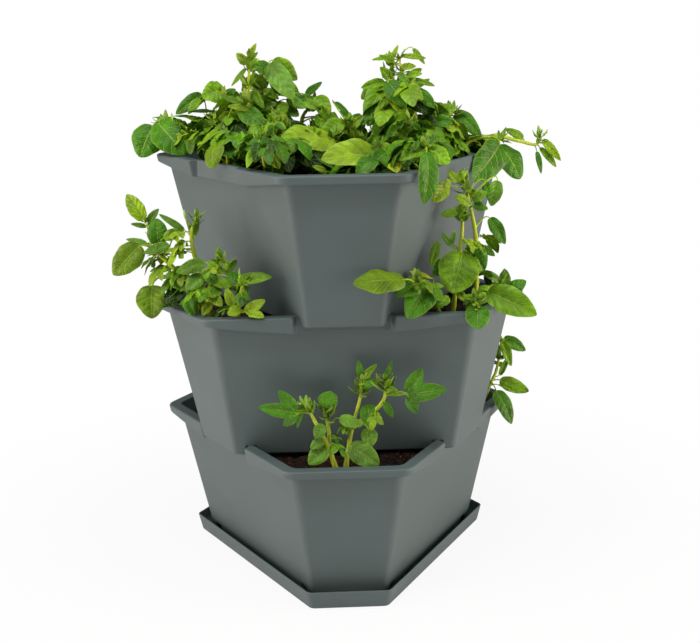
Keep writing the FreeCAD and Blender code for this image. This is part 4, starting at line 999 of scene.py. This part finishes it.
        ((28, 2, 134), (52, -2, 138), 14, FRONT, LEAF),
        ((60, -6, 142), (70, -6, 170), 9, FRONT, LEAF),
        ((62, -8, 130), (80, -14, 120), 12, FRONT, BRIGHT),
        ((58, -10, 108), (70, -18, 86), 12, FRONT, LEAF),
        ((94, -14, 120), (150, -24, 130), 28, FRONT, LEAF),
        ((94, -12, 124), (114, -14, 160), 25, FRONT, LEAF),
        ((94, -16, 116), (104, -28, 94), 20, FRONT, LEAF),
    ],
    "bottom_right_plant": [
        ((100, -30, 118), (114, -42, 74), 20, FRONT, BRIGHT),
        ((104, -26, 120), (142, -28, 98), 24, FRONT, LEAF),
        ((98, -34, 46), (146, -44, 28), 27, FRONT, BRIGHT),
        ((80, -96, 44), (102, -120, -6), 34, RIGHT, LEAF),
        ((92, -40, 40), (126, -44, 26), 12, UP, BRIGHT),
        ((96, -32, 56), (112, -26, 88), 12, FRONT, BRIGHT),
    ],
}
LEAVES["middle_back_plant"] = LEAVES["bottom_front_plant"]

# Whorls of young leaves: where they stand along a stem, the length of their leaves from the tip down and its
# spread, how far a leaf swings from the spiral, and how it rises from the lowest to the highest of a whorl
WHORLS, TALL_WHORLS = (1.0, 0.91, 0.82), (1.0, 0.88, 0.74, 0.58)
YOUNG_LENGTHS, YOUNG_SPREAD, YOUNG_WIDTH, YOUNG_SWING = (14, 24), (0.5, 1.25), 0.46, 0.6
YOUNG_LIFTS, LIFT_SCATTER, YOUNG_UPWARD = (0.0, 1.5), 0.4, 0.25

# How each plant's small leaves grow: the number of stalks with leaflets, their mean length and their
# leaflets' mean length, how many young leaves stand in a whorl, and the whorls
SPRAYS = {
    "top_left_plant": (56, 48, 39, 4, WHORLS),
    "tall_left_plant": (96, 46, 38, 7, TALL_WHORLS),
    "centre_plant": (70, 44, 37, 7, WHORLS),
    "tall_right_plant": (96, 46, 38, 7, TALL_WHORLS),
    "top_right_plant": (40, 42, 36, 4, WHORLS),
    "middle_left_plant": (34, 24, 18, 4, WHORLS),
    "middle_right_plant": (14, 24, 18, 7, WHORLS),
    "middle_back_plant": (4, 24, 15, 7, WHORLS),
    "bottom_front_plant": (4, 24, 15, 7, WHORLS),
    "bottom_right_plant": (2, 24, 17, 7, WHORLS),
}
TRIES_PER_STALK, LEAST_LEAFLETS, POCKET_PULL = 8, 4, 0.9

# How far small leaves keep from compost and plastic, and how far and high they may grow
COMPOST_CLEARANCE, POT_CLEARANCE, FLANGE_CLEARANCE = 3, 4, 5
CANOPY_OVERHANG, POCKET_CANOPY = 18, 110.0


def leaf_blades(foot, tip, width, facing, shape, grid_size):
    """Leaf blades as thin closed surfaces, all at once, and the map (c, v) of where each point lies.

    Along the blade the midrib follows an arch. Across it a point is midrib + half width * c * side, with c
    from -1 to 1, where half width is sin(pi v^lean)^fullness of the share v along the blade. Above that
    line it rises by a fold |c|, sinks by a curl c^2, waves at its edge, and is quilted between its side
    veins. shape holds each blade's fold, curl, arch, droop, twist and wave, and grid_size the rows, the
    columns and how near to the blade's ends the first and last row lie.
    """
    fold, curl, arch, droop, twist, wave = (part[:, None, None] for part in shape)
    rows, across, ends = grid_size
    v = np.concatenate([[0.0], np.linspace(ends, 1 - ends * 0.6, rows), [1.0]])[None, :, None]
    c = np.linspace(-1, 1, across)
    c = np.concatenate([c, c[-2:0:-1]])[None, None, :]
    under = np.concatenate([np.zeros(across), np.ones(across - 2)])[None, None, :]
    way = tip - foot
    length = np.linalg.norm(way, axis=1)[:, None, None]
    ahead = unit(way)
    side = unit(np.cross(ahead, facing))
    upper = np.cross(side, ahead)
    broad = width[:, None, None]
    ripple = 1 + EDGE_RIPPLE * np.sin(17 * v + 5 * wave) * np.abs(c)
    half = broad / 2 * np.sin(math.pi * v ** BLADE_LEAN) ** BLADE_FULLNESS * ripple
    heart = HEART_DEPTH * broad * np.abs(c) ** 1.5 * np.exp(-((v - 0.05) / 0.12) ** 2)
    slant = VEIN_SLANT * np.abs(c) * (1 - VEIN_STRAIGHTENING * v)
    veins = 0.5 - 0.5 * np.cos(math.tau * VEIN_PAIRS * (v - slant))
    quilt = QUILT_HEIGHT * broad * veins * np.abs(c) ** 0.5 * (1 - c ** 4) * np.sin(math.pi * v)
    rise = half * (np.sin(fold) * np.abs(c) - curl * c ** 2) + quilt
    rise = rise + wave * EDGE_WAVE * half * c ** 2 * np.sin(math.tau * 1.7 * v + 9 * wave + 2 * c)
    rise = rise + length * (arch * 4 * v * (1 - v) - droop * v ** 3 * (1 - v) * 3)
    rise = rise + twist * half * c * (v - 0.4)
    rib_end = np.sin(math.pi * np.minimum(v * 3, 0.5))
    rib = RIB_DEPTH * broad * np.exp(-(c / RIB_SHARE) ** 2) * (1 - v) * rib_end
    height = rise - under * (LEAF_THICKNESS * (1 - c ** 2) ** 0.5 + rib)
    sideways = half * c * np.cos(fold)
    forward = length * v - heart
    grid = (
        foot[:, None, None] + ahead[:, None, None] * forward[..., None]
        + side[:, None, None] * sideways[..., None] + upper[:, None, None] * height[..., None]
    )
    return grid, np.stack(np.broadcast_arrays(c + 0 * height, v + 0 * height), axis=-1)


def on_points(values):
    """The values on a grid, in the order of its mesh's points."""
    body = values[:, 1:-1].reshape(len(values), -1, values.shape[-1])
    return np.concatenate([body, values[:, :1, 0], values[:, -1:, 0]], axis=1).reshape(-1, values.shape[-1])


def leafy_mesh(name, parts):
    """Closed surfaces with a green each and a map of where each point lies on its blade.

    Each part is a grid, its map and its greens. The blades' edges are sharp, so that the upper and lower
    faces shade apart.
    """
    mesh = closed_mesh(name, *[grid for grid, _, _ in parts])
    place = np.concatenate([on_points(where) for _, where, _ in parts]).astype(np.float32)
    corners = np.zeros(len(mesh.loops), np.int32)
    mesh.loops.foreach_get("vertex_index", corners)
    mesh.uv_layers.new(name="blade").data.foreach_set("uv", place[corners].ravel())
    tint = [np.broadcast_to(green[:, None, None], grid.shape[:3] + (3,)) for grid, _, green in parts]
    tint = np.concatenate([on_points(values) for values in tint])
    tint = np.concatenate([tint, np.ones((len(tint), 1))], axis=1).astype(np.float32)
    mesh.attributes.new("green", "FLOAT_COLOR", "POINT").data.foreach_set("color", tint.ravel())
    edges = np.zeros(len(mesh.edges) * 2, np.int32)
    mesh.edges.foreach_get("vertices", edges)
    rim = (np.abs(place[edges.reshape(-1, 2), 0]) > 0.999).all(axis=1)
    mesh.attributes.new("sharp_edge", "BOOLEAN", "EDGE").data.foreach_set("value", rim)
    return mesh


def leaf_flesh():
    """A living leaf: own green, paler veins, a painted rim light at its edge, a mottle, and a soft shine.

    The veins are narrow bands of the blade's map: the midrib where across is near 0, and a side vein where
    along - slant, times the pairs of veins, is whole. The green is darkened beside the veins as painted
    shade in their grooves and lightened between them as painted light on the quilting, the blade is
    puckered between them, and a little light comes through it.
    """
    material, tree, shader = new_material("leaf_flesh", roughness=0.36, gloss=0.26)

    def calculate(operation, *values):
        return add_node(tree, "Math", dict(enumerate(values)), operation=operation).outputs["Value"]

    def band(value, outer, inner):
        limits = {"Value": value, "From Min": outer, "From Max": inner}
        return add_node(tree, "MapRange", limits, interpolation_type="SMOOTHSTEP").outputs["Result"]

    blade = add_node(tree, "UVMap", {}, uv_map="blade").outputs["UV"]
    split = add_node(tree, "SeparateXYZ", {"Vector": blade})
    across, lengthwise = calculate("ABSOLUTE", split.outputs["X"]), split.outputs["Y"]
    straightening = calculate("MULTIPLY_ADD", lengthwise, -VEIN_SLANT * VEIN_STRAIGHTENING, VEIN_SLANT)
    slant = calculate("MULTIPLY", across, straightening)
    phase = calculate("MULTIPLY", calculate("SUBTRACT", lengthwise, slant), VEIN_PAIRS)
    repeated = calculate("FRACT", calculate("ADD", phase, 0.5))
    from_vein = calculate("ABSOLUTE", calculate("SUBTRACT", repeated, 0.5))
    side_vein = calculate("MULTIPLY", band(from_vein, outer=0.085, inner=0.012), SIDE_VEIN_SHARE)
    vein = calculate("MAXIMUM", side_vein, band(across, outer=0.065, inner=0.01))
    # A pale band along the blade's edge: painted rim light, mixed into the vein green like the veins
    rim = calculate("MULTIPLY", band(across, outer=0.88, inner=1.0), RIM_LIGHT_SHARE)
    pale = calculate("MULTIPLY", calculate("MAXIMUM", vein, rim), PALENESS)

    green = add_node(tree, "Attribute", {}, attribute_name="green").outputs["Color"]
    mottle = noise(tree, scale=38, detail=4)
    limits = {"Value": mottle, "From Min": 0.3, "From Max": 0.7, "To Min": 0.68, "To Max": 1.42}
    cloudy = add_node(tree, "MapRange", limits).outputs["Result"]
    # Darker beside the veins and lighter between them: painted shade in the vein grooves and painted light on
    # the quilting, over a random mottle
    mottle_and_vein_shade = calculate("MULTIPLY", cloudy, calculate("MULTIPLY_ADD", from_vein, 0.4, 0.9))
    mottled_and_vein_shaded = add_node(tree, "VectorMath", {0: green, "Scale": mottle_and_vein_shade}, operation="SCALE").outputs["Vector"]
    tones = {"Factor": pale, "A": mottled_and_vein_shaded, "B": VEIN_AND_RIM_LIGHT_GREEN}
    veined = add_node(tree, "Mix", tones, data_type="RGBA").outputs["Result"]
    tree.links.new(veined, shader.inputs["Base Color"])

    pucker = noise(tree, scale=120, detail=3)
    relief = calculate("MULTIPLY_ADD", pucker, 0.7, calculate("MULTIPLY", vein, -0.3))
    raise_skin(tree, shader, relief, strength=0.8, distance=0.005)
    glow = add_node(tree, "BsdfTranslucent", {"Color": veined}).outputs["BSDF"]
    flesh = add_node(tree, "MixShader", {"Fac": LIGHT_THROUGH, 1: shader.outputs["BSDF"], 2: glow})
    tree.links.new(flesh.outputs["Shader"], tree.nodes["Material Output"].inputs["Surface"])
    return material


def blade_shapes(draw, count, ranges):
    """Fold, curl, arch, droop, twist and wave of some blades, each drawn from its range."""
    return [draw.uniform(low, high, count) for low, high in ranges]


def leaflets(start, heading, length, size, draw):
    """Stalks that arch out of the stems, with three pairs of leaflets on each and one at its tip.

    A stalk is a quadratic curve from its start: out along its heading, then over. A leaflet points to its
    side of the stalk and a little down, and the last one over the stalk's end.
    """
    grown = (len(start), len(LEAFLET_PLACES))
    out = heading * [1, 1, 0]
    bend = start + heading * length[:, None] * SPRAY_RISE
    end = bend + (out * SPRAY_OUT - [0, 0, SPRAY_DROOP]) * length[:, None]
    place = np.array(LEAFLET_PLACES)[None, :, None]
    way = np.array(LEAFLET_SIDES)[None, :, None]
    foot = arched(start[:, None], bend[:, None], end[:, None], place)
    along_stalk = unit((bend - start)[:, None] * (1 - place) + (end - bend)[:, None] * place)
    sideways = unit(np.cross(along_stalk, [0.0, 0.0, 1.0]))
    jitter = draw.normal(0, LEAFLET_JITTER, (*grown, 3))
    onwards = along_stalk * (1.0 - LEAFLET_SPLAY * np.abs(way))
    ahead = unit(way * sideways + onwards - np.array([0, 0, LEAFLET_DROOP]) + jitter)
    long = size[:, None] * LEAFLET_SIZES * draw.uniform(*LEAFLET_LENGTHS, grown)
    foot = foot + ahead * STALK_OVERLAP
    scatter = draw.normal(0, FACING_JITTER, (*grown, 3))
    facing = unit(out[:, None] * FACING_OUT + np.array([0, 0, FACING_UP]) + scatter)
    width = long * draw.uniform(*LEAFLET_WIDTHS, grown)
    return bend, end, foot, foot + ahead * long[..., None], width, facing


def room_for(points, tier):
    """Whether points are free: over the compost, inside the pot or over its rim, outside the pot above, and
    in the top pot under the canopy's height."""
    low = points[..., 2] > COMPOST_LEVELS[tier] + COMPOST_CLEARANCE
    over_rim = points[..., 2] > POT_LEVELS[tier] + POT_HEIGHT + POT_CLEARANCE
    free = low & (in_pot(points, tier, WALL + POT_CLEARANCE) | over_rim)
    if tier == "top":
        canopy = np.interp(points[..., 0], CANOPY_ACROSS, CANOPY_HEIGHT) + COMPOST_LEVELS[tier]
        return free & (points[..., 2] < canopy) & in_pot(points, tier, -CANOPY_OVERHANG)
    above = TIERS[TIERS.index(tier) + 1]
    return free & ~in_pot(points, above, -FLANGE_REACH - FLANGE_CLEARANCE)


def large_leaves(name, turning, draw):
    """A plant's large leaves, on arched stalks from the nearest stem a little below them.

    Gives their blades, and of their stalks the start, bend, end and thickness.
    """
    lines, centre = stem_lines[name], pocket_centres[name]
    foot, tip, width, facing, green = (np.array(column, float) for column in zip(*LEAVES[name]))
    foot, tip, facing = centre + foot @ turning, centre + tip @ turning, facing @ turning
    green = green * draw.uniform(*LARGE_SHADES, (len(foot), 1))
    on_stems = lines.reshape(-1, 3)
    apart = on_stems[None] - foot[:, None] + [0, 0, STALK_CLIMB]
    nearest = on_stems[np.linalg.norm(apart, axis=2).argmin(axis=1)]
    span = np.linalg.norm(foot - nearest, axis=1)[:, None]
    ahead = unit(tip - foot)
    end = foot + ahead * STALK_OVERLAP
    bend = end - ahead * span * STALK_RUN_IN + np.array([0, 0, STALK_LIFT]) * span
    shape = blade_shapes(draw, len(foot), LARGE_SHAPES)
    blades = leaf_blades(foot, tip, width, facing, shape, LARGE_GRID)
    thickness = LARGE_STALK_LEAST + width / LARGE_STALK_SLIMNESS
    return (*blades, green), (nearest, bend, end, thickness)


def sprays(name, tier, draw):
    """Stalks with leaflets round all of a plant's stems, in a spiral, smaller towards the tips.

    They turn outwards from a pocket. A stalk grows where enough of its leaflets have room. The green goes
    with the height over the compost: deepest low down, partly the old leaves' own deeper green and partly
    painted shade under the canopy. Gives the leaflets' foot, tip, width, facing and green, and of the
    stalks the start, bend, end and thickness.
    """
    lines, centre = stem_lines[name], pocket_centres[name]
    count, stalk_length, leaflet_length, *_ = SPRAYS[name]
    order = np.arange(count * TRIES_PER_STALK)
    share = draw.uniform(*SPRAY_ZONE, order.size)
    start = lines[order % len(lines), (share * (STEM_STEPS - 1)).astype(int)]
    angle = order * GOLDEN_ANGLE + draw.uniform(-SPRAY_SWING, SPRAY_SWING, order.size)
    heading = np.stack([np.cos(angle), np.sin(angle), draw.uniform(*SPRAY_STEEPNESS, order.size)], axis=1)
    heading = unit(heading + POCKET_PULL * unit(centre * [1, 1, 0]))
    vigour = FOOT_VIGOUR - TIP_LOSS * share ** 2
    length = stalk_length * vigour * draw.uniform(*SPRAY_LENGTHS, order.size)
    size = leaflet_length * vigour * draw.uniform(*SPRAY_SIZES, order.size)
    bend, end, foot, tip, width, facing = leaflets(start, heading, length, size, draw)
    free = room_for(foot, tier) & room_for(tip, tier) & room_for(foot * 0.5 + tip * 0.5, tier)
    kept = np.flatnonzero(free.sum(axis=1) >= LEAST_LEAFLETS)[:count]
    foot, tip, width, facing = (part[kept][free[kept]] for part in (foot, tip, width, facing))
    height = foot[:, 2] - COMPOST_LEVELS[tier]
    top = np.interp(foot[:, 0], CANOPY_ACROSS, CANOPY_HEIGHT) if tier == "top" else POCKET_CANOPY
    # Low leaflets get the deepest green: partly their own older green, partly painted shade under the canopy
    level = np.clip(height / top + draw.normal(0, GREEN_SCATTER, height.size), 0, 1)
    tones = zip(DEEP_AND_SHADED, LEAF, BRIGHT, LIME)
    green = np.stack([np.interp(level, GREEN_LEVELS, tone) for tone in tones], axis=1)
    green = green * draw.uniform(*SMALL_SHADES, (height.size, 1))
    thickness = SMALL_STALK_LEAST + size[kept] / SMALL_STALK_SLIMNESS
    return (foot, tip, width, facing, green), (start[kept], bend[kept], end[kept], thickness)


def young_leaves(name, draw):
    """Young leaves in whorls round the upper part of each stem of a plant, the last one a rosette at its tip.

    A leaf's way is cos * beside + sin * upper + lift * onwards, and a little upwards, turned by the golden
    angle from one to the next. Gives the leaves' foot, tip, width, facing and green.
    """
    lines = stem_lines[name]
    *_, buds, whorls = SPRAYS[name]
    spots = [round(share * (STEM_STEPS - 1)) for share in whorls]
    knots = lines[:, spots].reshape(-1, 3)
    onwards = unit(knots - lines[:, [spot - 2 for spot in spots]].reshape(-1, 3))
    count = len(knots) * buds
    onwards = np.repeat(onwards, buds, axis=0)
    beside = unit(np.cross(onwards, [0.3, 1.0, 0.2]))
    spin = (np.arange(count) * GOLDEN_ANGLE + draw.uniform(-YOUNG_SWING, YOUNG_SWING, count))[:, None]
    lift = np.tile(np.linspace(*YOUNG_LIFTS, buds), len(knots))
    lift = lift + draw.uniform(-LIFT_SCATTER, LIFT_SCATTER, count)
    way = np.cos(spin) * beside + np.sin(spin) * np.cross(onwards, beside) + lift[:, None] * onwards
    way = unit(way + [0, 0, YOUNG_UPWARD])
    length = np.tile(np.repeat(np.linspace(*YOUNG_LENGTHS, len(whorls)), buds), len(lines))
    length = length * draw.uniform(*YOUNG_SPREAD, count)
    foot = np.repeat(knots, buds, axis=0) + way * STALK_OVERLAP
    facing = -np.cross(np.cross(way, [0.0, 0.0, 1.0]), way)
    paleness = draw.uniform(0, 1, (count, 1))
    green = np.array(BRIGHT) * (1 - paleness) + np.array(YOUNG) * paleness
    return foot, foot + way * length[:, None], length * YOUNG_WIDTH, facing, green


def leaf_stalks(start, bend, end, thickness, draw):
    """Stalks as tubes that taper along their arch, pale, and mapped to a place that has no vein."""
    t = np.linspace(0, 1, STALK_STEPS)[None, :, None]
    lines = arched(start[:, None], bend[:, None], end[:, None], t)
    taper = np.linspace(STALK_FOOT_THICKNESS, STALK_TIP_THICKNESS, STALK_STEPS)
    radius = STALK_RADIUS * thickness[:, None] * taper
    grid = tubes(lines, radius, STALK_AROUND)
    place = np.broadcast_to(np.array(BETWEEN_VEINS), grid.shape[:3] + (2,))
    return grid, place, np.array(LIME) * draw.uniform(*STALK_SHADES, (len(lines), 1))


leaf_green = leaf_flesh()
for seed, (name, (tier, _, turn, _)) in enumerate(PLACES.items()):
    draw = np.random.default_rng(200 + seed)
    large, large_stalks = large_leaves(name, turned_by(turn), draw)
    small, small_stalks = sprays(name, tier, draw)
    young = young_leaves(name, draw)
    foot, tip, width, facing, green = (np.concatenate(pair) for pair in zip(small, young))
    shape = blade_shapes(draw, len(foot), SMALL_SHAPES)
    small = (*leaf_blades(foot, tip, width, facing, shape, SMALL_GRID), green)
    stalks = leaf_stalks(*(np.concatenate(pair) for pair in zip(large_stalks, small_stalks)), draw)
    foliage = leafy_mesh(name + "_foliage", [large, small, stalks])
    new_piece(name + "_foliage", foliage, leaf_green, "leaves", tier, name + "_leaves")

# Camera, floor and light
# The photograph was taken from the front, a little above the rim, with the tower standing free on white. Two
# warm softboxes at the sides, a cool one above and a small key lamp at the upper left light it evenly. The
# camera's values are the best fit to the corners of the pots and the saucer in the photograph.
PICTURE_WIDTH, FOCAL_PIXELS, SENSOR_WIDTH = 700.0, 1207.3, 36
CAMERA_DISTANCE, CAMERA_ELEVATION, CAMERA_YAW, CAMERA_ROLL = 2010.2, 13.63, -2.64, -0.82
TARGET_RIGHT, TARGET_HEIGHT = 18.5, 392.3
FLOOR_SIZE, LAMP_AIM = 40, (0, 0, 0.4)
WHITE = (1, 1, 1, 1)

elevation, yaw, roll = (math.radians(a) for a in (CAMERA_ELEVATION, CAMERA_YAW, CAMERA_ROLL))
level = math.cos(elevation)
back = Vector((math.sin(yaw) * level, -math.cos(yaw) * level, math.sin(elevation)))
right = (-back).cross(Vector((0, 0, 1))).normalized()
up = right.cross(-back)
tilted_right = right * math.cos(roll) + up * math.sin(roll)
tilted_up = up * math.cos(roll) - right * math.sin(roll)
target = Vector((TARGET_RIGHT * math.cos(yaw), TARGET_RIGHT * math.sin(yaw), TARGET_HEIGHT))
camera = bpy.data.objects.new("camera", bpy.data.cameras.new("camera"))
bpy.context.scene.collection.objects.link(camera)
turned = Matrix((tilted_right, tilted_up, back)).transposed().to_4x4()
camera.matrix_world = Matrix.Translation((target + back * CAMERA_DISTANCE) * MM) @ turned
camera.data.sensor_width = SENSOR_WIDTH
camera.data.lens = FOCAL_PIXELS * SENSOR_WIDTH / PICTURE_WIDTH
bpy.context.scene.camera = camera

# The floor is pale grey to the light and near white to the camera, and fades to white away from the tower
floor_paint, tree, surface = new_material("pale_floor", roughness=0.9, gloss=0.5)
surface.inputs["Base Color"].default_value = (0.82, 0.82, 0.82, 1)
where = add_node(tree, "TexCoord", {}).outputs["Object"]
away = add_node(tree, "VectorMath", {0: where}, operation="LENGTH").outputs["Value"]
limits = {"Value": away, "From Min": 0.3, "From Max": 1.1, "To Min": 0.90, "To Max": 1.0}
fade = add_node(tree, "MapRange", limits, interpolation_type="SMOOTHSTEP").outputs["Result"]
seen = add_node(tree, "LightPath", {}).outputs["Is Camera Ray"]
share = add_node(tree, "Math", {0: seen, 1: fade}, operation="MULTIPLY").outputs["Value"]
white = add_node(tree, "Emission", {"Color": WHITE}).outputs["Emission"]
both = add_node(tree, "MixShader", {"Fac": share, 1: surface.outputs["BSDF"], 2: white})
tree.links.new(both.outputs["Shader"], tree.nodes["Material Output"].inputs["Surface"])
bpy.ops.mesh.primitive_plane_add(size=FLOOR_SIZE, location=(0, 0, 0))
floor = bpy.context.object
floor.name = "floor"
floor.data.materials.append(floor_paint)

# The room gives a faint cool light and is white to the camera
world = bpy.data.worlds.new("studio")
bpy.context.scene.world = world
world.use_nodes = True
tree = world.node_tree
tree.nodes.clear()
room = add_node(tree, "Background", {"Color": (0.80, 0.96, 1.0, 1), "Strength": 0.19}).outputs["Background"]
backdrop = add_node(tree, "Background", {"Color": WHITE, "Strength": 1.0}).outputs["Background"]
seen = add_node(tree, "LightPath", {}).outputs["Is Camera Ray"]
sky = add_node(tree, "MixShader", {"Fac": seen, 1: room, 2: backdrop}).outputs["Shader"]
add_node(tree, "OutputWorld", {"Surface": sky})

for name, place, size, power, colour in (
    ("left_softbox", (-2.6, -0.6, 0.6), 2.2, 82, (1.0, 0.85, 0.78)),
    ("right_softbox", (2.6, -0.6, 0.6), 2.2, 92, (1.0, 0.85, 0.77)),
    ("top_softbox", (0.0, -0.9, 3.0), 2.0, 46, (0.96, 0.98, 1.0)),
    ("key_lamp", (-1.2, -1.5, 2.7), 0.45, 17, (1.0, 0.98, 0.95)),
):
    lamp = bpy.data.lights.new(name, "AREA")
    lamp.shape = "SQUARE"
    lamp.size = size
    lamp.energy = power
    lamp.color = colour
    holder = bpy.data.objects.new(name, lamp)
    bpy.context.scene.collection.objects.link(holder)
    aim = Vector(LAMP_AIM) - Vector(place)
    holder.location = place
    holder.rotation_euler = aim.to_track_quat("-Z", "Y").to_euler()

bpy.context.scene.view_settings.view_transform = "Standard"
